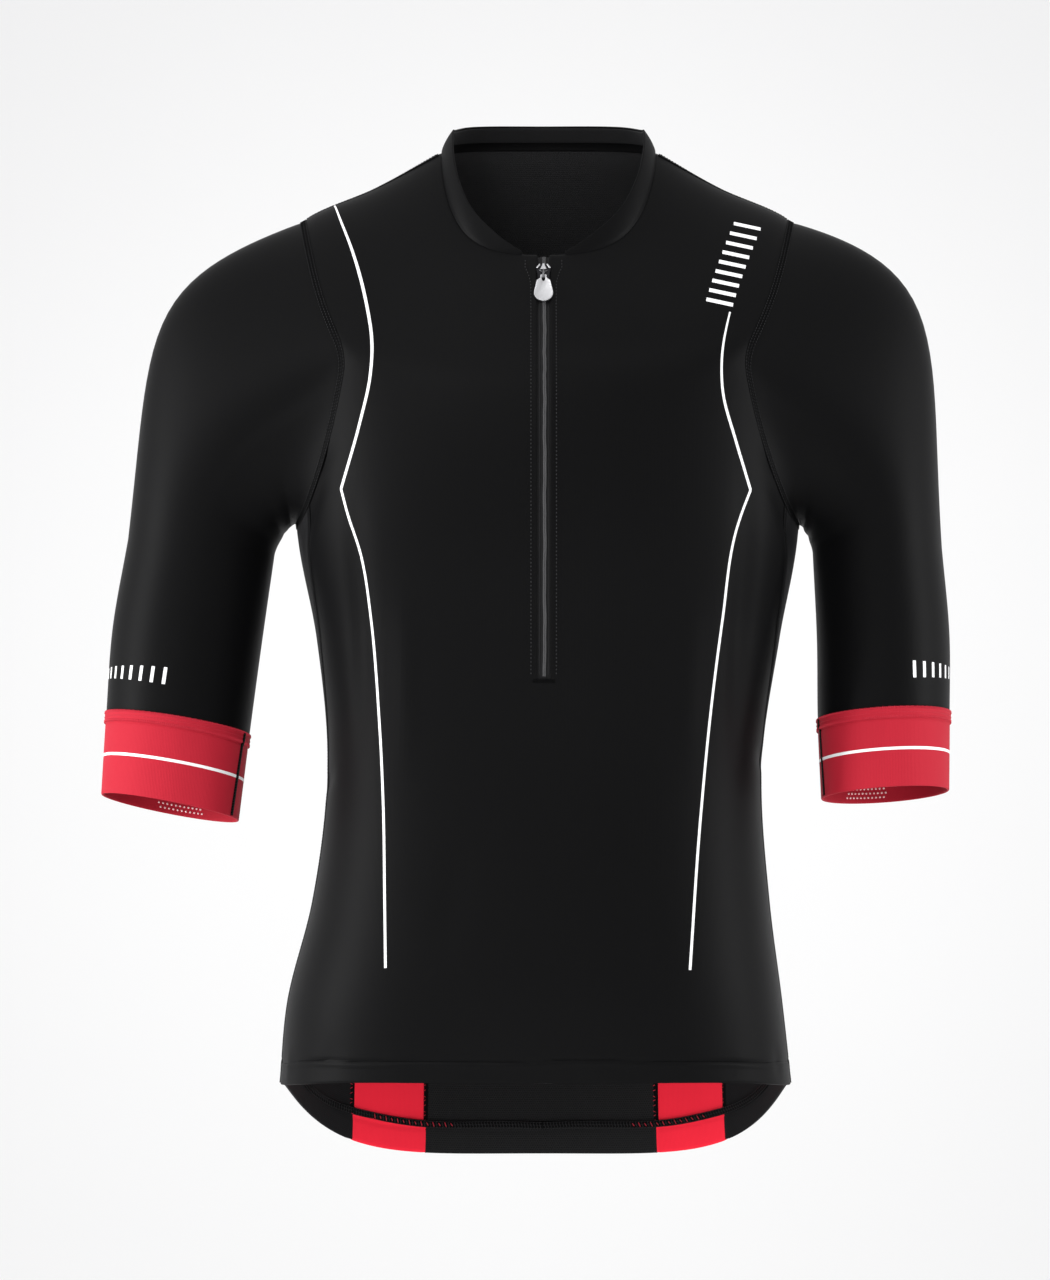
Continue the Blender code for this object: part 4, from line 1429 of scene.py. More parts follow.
@dataclass(frozen=True)
class Sight:
    """The photograph's camera, which also places what was measured through it."""

    eye: Vector = Vector((-11.9, -3000.0, -322.0))
    half_height: float = 422.4
    sensor: float = 36.0

    def lens(self) -> float:
        """The focal length in mm."""
        return self.sensor * -self.eye.y / (2 * self.half_height)

    def seen(self, point: Vector) -> Place:
        """Where a point appears in the plane of the shoulders, in mm: across and drop."""
        here = point / MM
        share = -self.eye.y / (here.y - self.eye.y)
        return (self.eye.x + (here.x - self.eye.x) * share,
                -(self.eye.z + (here.z - self.eye.z) * share))

    def find(self, surface: Callable[[float, float], Vector], start: Place,
             steps: Place, across: float, drop: float) -> tuple[float, float, float]:
        """Find the place on a surface that appears at a given place.

        Args:
            surface: a form's function of two numbers.
            start: where to begin.
            steps: small steps of the two numbers.
            across: the wanted place across, in mm.
            drop: the wanted place down, in mm.

        Returns:
            The two numbers, and how far off they still are in mm.
        """
        u, v = start
        for _ in range(9):
            here = self.seen(surface(u, v))
            miss = Vector((across - here[0], drop - here[1]))
            with_u = self.seen(surface(u + steps[0], v))
            with_v = self.seen(surface(u, v + steps[1]))
            turn = Matrix(((with_u[0] - here[0], with_v[0] - here[0]),
                           (with_u[1] - here[1], with_v[1] - here[1])))
            if abs(turn.determinant()) < 1e-9:
                break
            move = turn.inverted() @ miss
            u += max(min(move.x, 30), -30) * steps[0]
            v += max(min(move.y, 30), -30) * steps[1]
        here = self.seen(surface(u, v))
        return u, v, math.hypot(across - here[0], drop - here[1])


SIGHT = Sight()


# ---- the torso's panels

@dataclass
class Panels:
    """The cut pieces of the torso: front, sides, stripes and back."""

    torso: Torso
    pattern: Pattern
    neck: Neck
    cell: float = 3.6
    station_step: float = 0.25
    half_columns: int = 58
    fold_columns: int = 13
    fold_width: float = 1.6

    def low_ups(self) -> list[float]:
        """Heights of the rows from the hem to the armhole's foot."""
        foot = self.pattern.zip_foot_up
        top = self.pattern.armhole(self.pattern.side_station)[1]
        hem = spread(0, 30, 22)
        belly = spread(30, foot, int((foot - 30) / self.cell))[1:]
        chest = spread(foot, top, int((top - foot) / self.cell))[1:-1]
        return hem + belly + chest

    def arm_ups(self, from_station: float) -> list[float]:
        """Heights of the armhole's places, from a station up to the shoulder's tip."""
        count = int(from_station / self.station_step)
        return [self.pattern.armhole(from_station * (1 - i / count))[1]
                for i in range(count + 1)]

    def ups(self) -> list[float]:
        """Heights of all rows, from hem to neck."""
        arm = self.arm_ups(self.pattern.side_station)
        shoulder = spread(arm[-1], self.torso.neck_up, 28, 0.6)[1:]
        return self.low_ups() + arm + shoulder

    def net(self, lines: Sequence[Sequence[Place]]) -> Net:
        """The net of a panel through places given as turn and up."""
        return Net(*([[read(*place) for place in line] for line in lines] for read in (
            self.torso.point, self.torso.normal, self.torso.wall)))

    def level_net(self, ups: Sequence[float], turns_at: Callable[[float], list[float]]) -> Net:
        """The net of a panel whose rows each lie at one height."""
        return self.net([[(turn, up) for turn in turns_at(up)] for up in ups])

    def finish(self, name: str, node: str, net: Net, finish: ClothFinish,
               hangs_from: str) -> None:
        """Sew a panel's net, with dips at all of its seams."""
        edges = ("left", "right", "top")
        sew(name, node, net, finish, [hangs_from], edges, edges)

    def front_turns(self, up: float) -> list[float]:
        """Turns of the front's columns, from its left edge over the slit to its right."""
        slit = self.torso.turn_for(self.pattern.slit_half, up)
        edge = self.pattern.front_edge(up)
        half = spread(slit, edge, self.half_columns, 0.7)
        return [-turn for turn in reversed(half)] + half

    def make_front(self) -> None:
        """The front, slit for the zip from the neck to its foot."""
        ups = self.ups()
        net = self.level_net(ups, self.front_turns)
        foot = min(range(len(ups)), key=lambda row: abs(ups[row] - self.pattern.zip_foot_up))
        last = self.half_columns
        net.missing = {(row, last) for row in range(foot, len(ups) - 1)}
        for row in range(foot, len(ups)):
            rising = min((row - foot) / 3, 1.0) * MM
            for fold in (range(last, last - self.fold_columns, -1),
                         range(last + 1, last + 1 + self.fold_columns)):
                edge = net.points[row][fold[0]]
                for c in fold:
                    point = net.points[row][c]
                    away = (point - edge).length / MM
                    lift = 0.25 * hump(away - 0.8, self.fold_width) - 0.1 * hump(away, 0.4)
                    net.points[row][c] = point + net.normals[row][c] * lift * rising
        self.finish("front_cloth", "front_panel", net, BLACK_KNIT, "back_cloth")

    def make_back(self) -> None:
        """The net back, between the stripes and up to the shoulder seams."""

        def turns(up: float) -> list[float]:
            """From the right stripe to the left one."""
            edge = self.pattern.stripe_seam(up)
            return spread(edge, 2 * math.pi - edge, 96, 0.6)

        self.finish("back_cloth", "back_panel", self.level_net(self.ups(), turns), BLACK_NET_PAINTED_PALER,
                    "collar_cloth")

    def make_side(self, side: Side) -> None:
        """A side panel, its top on the armhole's foot."""
        pattern = self.pattern
        count = int((pattern.stations - 2 * pattern.side_station) / self.station_step)
        seam_up = pattern.armhole(pattern.side_station)[1]
        tops = [pattern.armhole(pattern.side_station + i * self.station_step)
                for i in range(count + 1)]
        even_tops = spread(tops[0][0], tops[-1][0], count)
        lines = []
        for up in self.low_ups() + [seam_up - 1.5, seam_up - 0.6, seam_up]:
            blend = (up / seam_up) ** 4
            even = spread(pattern.front_seam(up), pattern.side_back_seam(up), count)
            lines.append([(side.sign * (turn + (top_turn - even_top) * blend),
                           up + (top_up - seam_up) * blend)
                          for turn, even_top, (top_turn, top_up) in zip(even, even_tops, tops)])
        self.finish("side_cloth_" + side.value, "side_panel_" + side.value, self.net(lines),
                    BLACK_SIDE_KNIT, "sleeve_cloth_" + side.value)

    def make_stripe(self, side: Side) -> None:
        """A narrow red stripe up the back that runs out in the armhole."""
        pattern = self.pattern
        top = pattern.armhole(pattern.stripe_station)[1]
        ups = self.low_ups() + [up for up in self.arm_ups(pattern.side_station)
                                if up <= top + 1e-4]

        def turns(up: float) -> list[float]:
            """From the side panel to the back."""
            return [side.sign * turn for turn in
                    spread(pattern.side_back_seam(up), pattern.stripe_seam(up), 12, 0.5)]

        self.finish("stripe_cloth_" + side.value, "back_stripe_" + side.value,
                    self.level_net(ups, turns), RED_KNIT_PAINTED_LIGHTER, "sleeve_cloth_" + side.value)

    def make(self) -> None:
        """Make every panel."""
        self.make_front()
        self.make_back()
        for side in Side:
            self.make_side(side)
            self.make_stripe(side)


# ---- sleeves and cuffs

SLEEVE_CREASES = {
    # station, place down from the armhole's middle in mm, tilt, length, width, depth
    Side.LEFT: (
        Crease(11.5, 40, 20, 70, 6, -1.5),
        Crease(13.0, 66, 8, 60, 6, -1.2),
        Crease(16.5, 52, -14, 64, 6, -1.3),
        Crease(10.0, 96, 14, 60, 7, -0.8),
        Crease(19.0, 120, -8, 70, 7, -1.0),
        Crease(24.0, 150, 6, 60, 8, -0.8),
    ),
    Side.RIGHT: (
        Crease(12.0, 44, 16, 66, 6, -1.4),
        Crease(13.5, 72, 6, 58, 6, -1.2),
        Crease(16.0, 48, -18, 60, 6, -1.2),
        Crease(10.4, 104, 12, 56, 7, -0.8),
        Crease(18.6, 128, -10, 66, 7, -0.9),
        Crease(24.4, 140, 8, 62, 8, -0.8),
    ),
}


@dataclass
class Sleeve:
    """One sleeve with its cuff."""

    arm: Arm
    cell: float = 3.6
    head_length: float = 118.0
    station_step: float = 0.25
    mm_per_station: float = 10.8
    cloth: float = 1.0
    cuff_cloth: float = 1.5
    band_height: float = 7.5
    band_lift: float = 0.7

    @property
    def side(self) -> Side:
        """Which side it is on."""
        return self.arm.side

    def relief(self, station: float, along: float) -> float:
        """How far creases lift the cloth, in mm."""
        down = along * self.head_length if along <= 1 else self.head_length + along - 1
        return sum(crease_lift(crease, self.mm_per_station * math.remainder(
            station - crease.turn, self.arm.pattern.stations), crease.up - down)
            for crease in SLEEVE_CREASES[self.side])

    def point(self, station: float, along: float) -> Vector:
        """A point of the sleeve's outer face."""
        lift = self.relief(station, along) if along > 0 else 0.0
        return self.arm.base(station, along) + self.arm.normal(station, along) * lift * MM

    def stations(self) -> list[float]:
        """Places round the arm, from the outer side round the front."""
        count = int(self.arm.pattern.stations / self.station_step)
        return [i * self.station_step for i in range(count)]

    def net(self, alongs: Sequence[float], thickness: float,
            lift: Callable[[float], float] = lambda along: 0.0) -> Net:
        """The net of a tube of cloth through rings at the places given."""
        stations = self.stations()
        points, normals = [], []
        for along in alongs:
            out = [self.arm.normal(station, along) for station in stations]
            points.append([self.point(station, along) + normal * lift(along) * MM
                           for station, normal in zip(stations, out)])
            normals.append(out)
        depths = [[thickness] * len(stations) for _ in alongs]
        return Net(points, normals, depths, wraps=True)

    def make_cloth(self) -> None:
        """The sleeve, from the armhole to the cuff's seam."""
        head = spread(0, 1, int(self.head_length / self.cell), 0.45)
        tube = [1 + down for down in spread(0, self.arm.cuff_top,
                                            int(self.arm.cuff_top / self.cell))[1:]]
        tube[-1:-1] = [tube[-1] - 1.6, tube[-1] - 0.7]
        ends = ("bottom", "top")
        sew("sleeve_cloth_" + self.side.value, "sleeve_" + self.side.value,
            self.net(head + tube, self.cloth), BLACK_KNIT, ["front_cloth", "back_cloth"],
            ends, ends)

    def band_rise(self, along: float) -> float:
        """How far the cuff's stitched top band stands out, in mm."""
        down = along - 1 - self.arm.cuff_top
        share = eased(clamp((self.band_height - down) / 0.9 + 0.5))
        groove = 0.3 * hump(down - self.band_height - 0.7, 0.5)
        return self.band_lift * share + 0.12 - groove

    def make_cuff(self) -> None:
        """The cuff: a wide ribbed elastic band with a stitched band at its top."""
        top, end = self.arm.cuff_top, self.arm.cuff_end
        downs = spread(top, top + 10, 26) + spread(top + 10, end, 20, 0.4)[1:]
        net = self.net([1 + down for down in downs], self.cuff_cloth, self.band_rise)
        sew("cuff_cloth_" + self.side.value, "cuff_" + self.side.value, net, RED_RIB,
            ["sleeve_cloth_" + self.side.value], drawn=("bottom",))

    def cuff_spot(self, station: float, down: float, lift: float = 0.0) -> Sample:
        """A point above the cuff's outer face, and the way out there."""
        normal = self.arm.normal(station, 1 + down)
        rise = self.band_rise(1 + down) + lift
        return self.point(station, 1 + down) + normal * rise * MM, normal

    def cuff_ring(self, down: float, pitch: float, lift: float = 0.0) -> list[Spot]:
        """Spots round the cuff."""
        return run_of([self.cuff_spot(station, down, lift) for station in self.stations()],
                      pitch, closed=True)

    def make(self) -> None:
        """Make the sleeve and its cuff."""
        self.make_cloth()
        self.make_cuff()


# ---- collar

@dataclass
class Collar:
    """The stand collar and the tape inside its back."""

    neck: Neck
    cloth: float = 1.1
    tape_height: float = 9.0
    tape_inset: float = 0.6
    tape_from: float = math.radians(89)
    tape_cloth: float = 0.8

    def net(self, turns: Sequence[float], heights_at: Callable[[float], list[float]],
            behind: float, thickness: float) -> Net:
        """The net of a strip of the collar's form, a number of mm behind its outer face."""
        lines = [heights_at(turn) for turn in turns]
        count = len(lines[0])
        points, normals = [], []
        for row in range(count):
            out = [self.neck.normal(turn, line[row]) for turn, line in zip(turns, lines)]
            if lines[0][row] == 0.0:
                up = self.neck.torso.neck_up
                out = [self.neck.torso.normal(turn, up) for turn in turns]
            points.append([self.neck.point(turn, line[row]) - normal * behind * MM
                           for turn, line, normal in zip(turns, lines, out)])
            normals.append(out)
        return Net(points, normals, [[thickness] * len(turns) for _ in range(count)])

    def make(self) -> None:
        """Make the collar and its tape."""
        start = self.neck.front_turn
        turns = spread(start, 2 * math.pi - start, 150, 0.3)
        net = self.net(turns, lambda turn: spread(0.0, 1.0, 12, 0.4), 0.0, self.cloth)
        sew("collar_cloth", "collar", net, BLACK_KNIT, ["back_cloth"], ("bottom",), ("bottom",),
            depth=0.45, width=1.3)
        low, high = self.tape_inset + self.tape_height, self.tape_inset

        def heights(turn: float) -> list[float]:
            """The tape's rows as shares of the collar's height there."""
            tall = self.neck.row(turn).height
            return spread(1 - low / tall, 1 - high / tall, 5, 0.4)

        turns = spread(self.tape_from, 2 * math.pi - self.tape_from, 80)
        sew("neck_tape_cloth", "neck_tape",
            self.net(turns, heights, self.cloth + 0.1, self.tape_cloth), BLACK_TAPE,
            ["collar_cloth"])


# ---- sewing

FLATLOCK = ((-2.5, -0.3), (-2.35, 0.12), (-1.2, 0.26), (0.0, 0.3), (1.2, 0.26), (2.35, 0.12),
            (2.5, -0.3), (0.0, -0.45))
OVERLOCK = ((-1.7, -0.2), (-1.5, 0.3), (0.0, 0.5), (1.5, 0.3), (1.7, -0.2), (0.0, -0.3))


@dataclass
class Sewing:
    """Every seam's thread, laid on the forms."""

    torso: Torso
    pattern: Pattern
    neck: Neck
    sleeves: dict[Side, Sleeve]
    pitch: float = 2.1
    thread: float = 0.42
    cuff_seam_foot: float = 6.4
    stitch: tuple = field(default_factory=thread_form)

    def along_seam(self, turn_at: Callable[[float], float], low: float, high: float,
                   sign: int, inside: bool = False) -> list[Sample]:
        """Samples up a seam of the torso.

        Args:
            turn_at: the seam's turn at a height.
            low: where it starts.
            high: where it ends.
            sign: -1 on the viewer's left.
            inside: whether the samples lie on the cloth's inner face.

        Returns:
            Points and normals.
        """
        samples = []
        for up in spread(low, high, max(int((high - low) / 2.5), 2)):
            turn = sign * turn_at(up)
            point, normal = self.torso.point(turn, up), self.torso.normal(turn, up)
            if inside:
                depth = self.torso.wall(turn, up) * MM
                samples.append((point - normal * depth, -normal))
            else:
                samples.append((point, normal))
        return samples

    def flatlock(self, name: str, spots: Sequence[Spot], closed: bool = False) -> None:
        """A flat seam: a low band, two needle rows and the thread slanting between them."""
        dress(ribbon(name + "_band", spots, FLATLOCK, closed), BLACK_THREAD)
        loops, slants = Scatter(self.stitch), Scatter(self.stitch)
        for i, here in enumerate(spots if closed else spots[:-1]):
            for across in (-1.9, 0.0, 1.9):
                stagger = self.pitch * (0.5 if across == 0 else 0.0)
                loops.lay(here, (across, 0.3, stagger - 0.5),
                          (across + 0.25, 0.32, stagger + 0.5 + 0.1 * (i % 3)),
                          self.thread * 1.15)
            slants.lay(here, (-1.9, 0.26), (1.9, 0.26, self.pitch * 0.6), self.thread * 0.9)
        dress(loops.build(name + "_loops"), GREY_THREAD)
        dress(slants.build(name + "_slants"), BLACK_THREAD)

    def overlock(self, name: str, spots: Sequence[Spot]) -> None:
        """A seam's inner side: a raised edge wrapped by slanting thread."""
        dress(ribbon(name + "_edge", spots, OVERLOCK), BLACK_THREAD)
        scatter = Scatter(self.stitch)
        for here in spots[:-1]:
            scatter.lay(here, (-1.6, 0.15), (1.6, 0.15, self.pitch * 0.7), self.thread)
            scatter.lay(here, (-0.3, 0.5), (0.2, 0.5, self.pitch * 0.8), self.thread)
        dress(scatter.build(name + "_wrap"), BLACK_THREAD)

    def armhole(self, side: Side) -> None:
        """The seam round the armhole, bent over torso and sleeve."""
        arm = self.sleeves[side].arm
        samples, sides = [], []
        steps = 224
        for i in range(steps):
            station = self.pattern.stations * i / steps
            point, normal, _ = arm.edge(station)
            after = arm.edge(self.pattern.stations * ((i + 1) % steps) / steps)[0]
            run = (after - point).normalized()
            outward = (arm.base(station, 0.02) - point).normalized()
            onto_torso = normal.cross(run).normalized()
            if onto_torso.dot(outward) > 0:
                onto_torso = -onto_torso
            middle = (normal + arm.normal(station, 0.02)).normalized()
            samples.append((point, middle))
            sides.append((onto_torso, outward))
        spots = run_of(samples, self.pitch, sides, closed=True)
        self.flatlock("armhole_seam_" + side.value, spots, closed=True)

    def torso_seams(self, side: Side) -> None:
        """The seams between the panels, outside and inside."""
        pattern = self.pattern
        top_side = pattern.armhole(pattern.side_station)[1] - 2.0
        top_stripe = pattern.armhole(pattern.stripe_station)[1] - 3.0
        seams = (
            ("side_seam_", pattern.front_seam, top_side, False),
            ("stripe_seam_", pattern.side_back_seam, top_side, True),
            ("back_seam_", pattern.stripe_seam, top_stripe, True),
        )
        for name, turn_at, top, beside_stripe in seams:
            outer = self.along_seam(turn_at, 0.5, top, side.sign)
            self.flatlock(name + side.value, run_of(outer, self.pitch))
            low = self.torso.hem_line(turn_at(20)) - 1
            inner = self.along_seam(turn_at, low, top, side.sign, inside=True)
            self.overlock(name + "inside_" + side.value, run_of(inner, self.pitch + 0.3))
            if beside_stripe:
                mixed = Scatter(self.stitch)
                for i, here in enumerate(run_of(inner[:int(len(inner) * 0.3)], 3.4)):
                    mixed.lay(here, (-1.9, 0.3), (-0.3, 0.62, 0.9 if i % 3 else -0.7), 0.5)
                dress(mixed.build(name + "red_" + side.value), RED_THREAD)
        shoulder = self.along_seam(lambda up: math.pi / 2, 574, 670, side.sign)
        self.flatlock("shoulder_seam_" + side.value, run_of(shoulder, self.pitch))

    def hem(self) -> None:
        """The turned-up hem: a needle row in its groove outside, a covering seam inside."""
        needles = Scatter(self.stitch)
        samples = []
        for turn in spread(-math.pi, math.pi, 420):
            up = self.torso.hem_line(turn)
            samples.append((self.torso.point(turn, up), self.torso.normal(turn, up)))
        for here in run_of(samples, 2.4, closed=True):
            needles.lay(here, (0, 0.04, -1.1), (0, 0.04, 1.1), 0.34)
        dress(needles.build("hem_needle_row"), BLACK_THREAD)
        for side in Side:
            self.inner_hem(side)

    def inner_hem(self, side: Side) -> None:
        """The covering seam along the hem's raw edge, from the front's middle to the back's."""
        samples = []
        for turn in spread(0.02, math.pi - 0.001, 200):
            up = self.torso.hem_line(turn) + 0.2
            place = (side.sign * turn, up)
            normal = self.torso.normal(*place)
            depth = self.torso.wall(place[0], up - 2) * MM
            samples.append((self.torso.point(*place) - normal * depth, -normal))
        spots = run_of(samples, self.pitch)
        name = "hem_cover_" + side.value
        band = tuple((across * 0.95, lift) for across, lift in FLATLOCK)
        dress(ribbon(name + "_band", spots, band), BLACK_THREAD)
        loops, red = Scatter(self.stitch), Scatter(self.stitch)
        edges = [self.pattern.side_back_seam(20), self.pattern.stripe_seam(20)]
        for i, here in enumerate(spots[:-1]):
            share = i / (len(spots) - 1)
            on_stripe = edges[0] - 0.02 < share * math.pi < edges[1] + 0.02
            slanting = red if on_stripe and i % 2 == 0 else loops
            reach = 1.0 + 0.3 * (i % 4) if slanting is red else 1.9
            slanting.lay(here, (-reach, 0.32), (reach, 0.32, self.pitch * 0.6),
                         self.thread * (1.3 if slanting is red else 1.0))
            for across in (-2.0, 0.0, 2.0):
                loops.lay(here, (across, 0.25), (across, 0.25, 1.7), self.thread)
        dress(loops.build(name + "_thread"), GREY_THREAD)
        dress(red.build(name + "_red"), RED_THREAD)

    def cuff(self, sleeve: Sleeve) -> None:
        """The cuff's top band: loops over its edge, two needle rows, and the seam below the arm."""
        side = sleeve.side
        top = sleeve.arm.cuff_top
        red = Scatter(self.stitch)
        for offset in (1.0, 3.6, self.cuff_seam_foot):
            for here in sleeve.cuff_ring(top + offset, 2.3, 0.08):
                red.lay(here, (0, 0, -0.9), (0, 0, 0.9), 0.45)
        for i, here in enumerate(sleeve.cuff_ring(top, 1.3)):
            sign = 1 if here.right.z > 0 else -1
            red.lay(here, (-sign * 1.0, 0.16), (sign * (0.35 + 0.12 * (i % 3)), -0.1), 0.85)
        for here in sleeve.cuff_ring(top + self.cuff_seam_foot, 1.3):
            red.lay(here, (-0.9, 0.04), (0.9, 0.04), 0.75)
        dress(red.build("cuff_thread_" + side.value), RED_THREAD)
        station = {Side.LEFT: 12.5, Side.RIGHT: 13.2}[side]
        seam = [sleeve.cuff_spot(station - 0.3 * i / 26, down, 0.05) for i, down in
                enumerate(spread(top + 0.5, sleeve.arm.cuff_end - 0.5, 26))]
        spots = run_of(seam, 1.8)
        band = ((-1.9, -0.3), (-1.7, 0.3), (0.0, 0.55), (1.7, 0.3), (1.9, -0.3), (0.0, -0.4))
        dress(ribbon("cuff_seam_band_" + side.value, spots, band), BLACK_THREAD)
        wrap = Scatter(self.stitch)
        for here in spots[:-1]:
            wrap.lay(here, (-2.0, 0.2), (1.9, 0.25, 1.3), 0.5)
            wrap.lay(here, (0.1, 0.6), (-0.2, 0.6, 1.5), 0.45)
        dress(wrap.build("cuff_seam_thread_" + side.value), GREY_THREAD)

    def make(self) -> None:
        """Lay all the sewing."""
        for side in Side:
            self.armhole(side)
            self.torso_seams(side)
            self.cuff(self.sleeves[side])
        self.hem()


# ---- prints and silicone

class Print(NamedTuple):
    """A printed line: its rows above and below its corner at the level of the armpit."""

    upper: tuple[PrintRow, ...]
    lower: tuple[PrintRow, ...]


CHEST_LINES = {
    Side.LEFT: Print(
        (PrintRow(40.0, -135.6), PrintRow(66.6, -125.4), PrintRow(98.9, -116.8),
         PrintRow(126.6, -112.9), PrintRow(148.4, -114.2), PrintRow(178.1, -120.8),
         PrintRow(222.3, -133.3)),
        (PrintRow(222.3, -133.3), PrintRow(240.8, -128.7), PrintRow(266.6, -120.8),
         PrintRow(306.8, -114.2), PrintRow(372.2, -108.3), PrintRow(436.2, -105.3),
         PrintRow(487.7, -104.6), PrintRow(538.5, -104.0))),
    Side.RIGHT: Print(
        (PrintRow(41.5, 146.3), PrintRow(67.0, 136.0), PrintRow(105.5, 123.4),
         PrintRow(135.2, 118.1), PrintRow(159.0, 118.8), PrintRow(188.7, 126.7),
         PrintRow(223.0, 137.3)),
        (PrintRow(223.0, 137.3), PrintRow(251.4, 127.4), PrintRow(306.8, 118.8),
         PrintRow(356.3, 112.2), PrintRow(443.4, 103.6), PrintRow(539.8, 97.0))),
}


@dataclass
class Prints:
    """Pale reflective lines and plain dashes, as thin films on the cloth."""

    torso: Torso
    sleeves: dict[Side, Sleeve]
    line_width: float = 1.9
    film: float = 0.16
    cuff_share: float = 0.53
    cuff_line_width: float = 2.0
    ladder_from: float = 49.0
    ladder_to: float = 99.0
    ladder_bars: int = 9
    ladder_half_width: float = 9.0
    ladder_offset: float = 8.5
    line_under_ladder: float = 105.5

    def profile(self, width: float) -> tuple[Place, ...]:
        """The cross-section of a film of a width."""
        half = width / 2
        return ((-half, -0.1), (-half + 0.08, self.film), (half - 0.08, self.film),
                (half, -0.1))

    def on_front(self, seen: Iterable[Place]) -> list[Place]:
        """Turn and up of the torso's front at those places seen by the camera that are on it."""
        places = []
        for across, drop in seen:
            start = (across / 165.0, self.torso.neck_up - (drop + 40) * 1.02)
            turn, up, miss = SIGHT.find(self.torso.base, start, (0.002, 0.5), across, drop)
            if miss < 0.6 and abs(turn) <= math.pi / 2 and 0 < up < self.torso.neck_up:
                places.append((turn, up))
        return places

    def samples(self, places: Iterable[Place]) -> list[Sample]:
        """The torso's points and normals at places."""
        return [(self.torso.point(*place), self.torso.normal(*place)) for place in places]

    def chest_line(self, side: Side) -> None:
        """The line from the shoulder over the chest towards the hem."""
        rows = CHEST_LINES[side]
        top = rows.upper[0].drop if side is Side.LEFT else self.line_under_ladder
        for part, name, start in ((rows.upper, "upper", top),
                                  (rows.lower, "lower", rows.lower[0].drop)):
            table = Table(part)
            stop = part[-1].drop
            places = self.on_front([(table.at(drop).across, drop) for drop in
                                    spread(start, stop, int((stop - start) / 2.5))])
            if name == "upper" and side is Side.LEFT:
                places = self.to_shoulder(places)
            spots = run_of(self.samples(places), 2.0)
            if name == "upper":
                shares = [min(0.6 + i / 75, 1.1) for i in range(len(spots))]
                spots = [spot._replace(left=spot.left * share, right=spot.right * share)
                         for spot, share in zip(spots, shares)]
            dress(ribbon("chest_line_%s_%s" % (name, side.value), spots,
                         self.profile(self.line_width)), WHITE_INK)

    @staticmethod
    def to_shoulder(places: list[Place]) -> list[Place]:
        """Run a line's first stretch on to the shoulder seam, where the camera sees it end on."""
        (turn, up), (next_turn, next_up) = places[0], places[1]
        added = []
        while abs(turn) < math.pi / 2 and len(added) < 6:
            turn, up = 2 * turn - next_turn, 2 * up - next_up
            next_turn, next_up = (turn + next_turn) / 2, (up + next_up) / 2
            added.append((max(min(turn, math.pi / 2), -math.pi / 2), up))
        return added[::-1] + places

    def sleeve_dashes(self, side: Side) -> None:
        """A row of plain upright dashes round the outer side of the sleeve."""
        sleeve = self.sleeves[side]
        down = sleeve.arm.cuff_top - 26.0
        first = {Side.LEFT: 6.3, Side.RIGHT: 5.3}[side]
        bars = []
        for i in range(11):
            station = first - i * 0.78
            normal = sleeve.arm.normal(station, 1 + down)
            point = sleeve.point(station, 1 + down)
            across = sleeve.point(station + 0.1, 1 + down) - point
            height = 11.0 - 0.6 * i
            rise = normal.cross(across).normalized() * height * MM
            samples = [(point + rise * share, normal) for share in spread(-0.5, 0.5, 4)]
            bars.append(ribbon("bar", run_of(samples, height / 4), self.profile(2.4)))
        dress(Bench.join(bars, "sleeve_dashes_" + side.value), WHITE_INK)

    def chest_dashes(self) -> None:
        """A ladder of plain bars beside the right line's upper stretch, below the shoulder."""
        table = Table(CHEST_LINES[Side.RIGHT].upper)
        slant = math.radians(12)
        bars = []
        for drop in spread(self.ladder_from, self.ladder_to, self.ladder_bars - 1):
            middle = table.at(drop).across - self.ladder_offset
            places = self.on_front([(middle + reach * math.cos(slant),
                                     drop + reach * math.sin(slant)) for reach in spread(
                                         -self.ladder_half_width, self.ladder_half_width, 5)])
            bars.append(ribbon("bar", run_of(self.samples(places), 3.0), self.profile(3.0)))
        dress(Bench.join(bars, "chest_dashes"), WHITE_INK)

    def cuff_line(self, side: Side) -> None:
        """The line round the cuff."""
        sleeve = self.sleeves[side]
        top, end = sleeve.arm.cuff_top, sleeve.arm.cuff_end
        down = top + (end - top) * self.cuff_share
        dress(ribbon("cuff_line_" + side.value, sleeve.cuff_ring(down, 2.4),
                     self.profile(self.cuff_line_width), closed=True), WHITE_INK)

    def grip_drops(self, side: Side) -> None:
        """The patch of silicone drops inside the back of the cuff."""
        sleeve = self.sleeves[side]
        drops = Scatter(drop_form())
        centre = {Side.LEFT: 20.6, Side.RIGHT: 19.9}[side]
        for row in range(11):
            for column in range(-5, 6):
                station = centre + (column + (row % 2) * 0.5) * 0.29
                down = sleeve.arm.cuff_end - 3.2 - row * 2.9
                point, normal = sleeve.cuff_spot(station, down)
                inner = point - normal * (sleeve.cuff_cloth - 0.02) * MM
                drops.drop(inner, -normal, 0.75, 0.6)
        dress(drops.build("grip_drops_" + side.value), SILICONE)

    def make(self) -> None:
        """Make all prints and drops."""
        for side in Side:
            self.chest_line(side)
            self.sleeve_dashes(side)
            self.cuff_line(side)
            self.grip_drops(side)
        self.chest_dashes()


# ---- zip

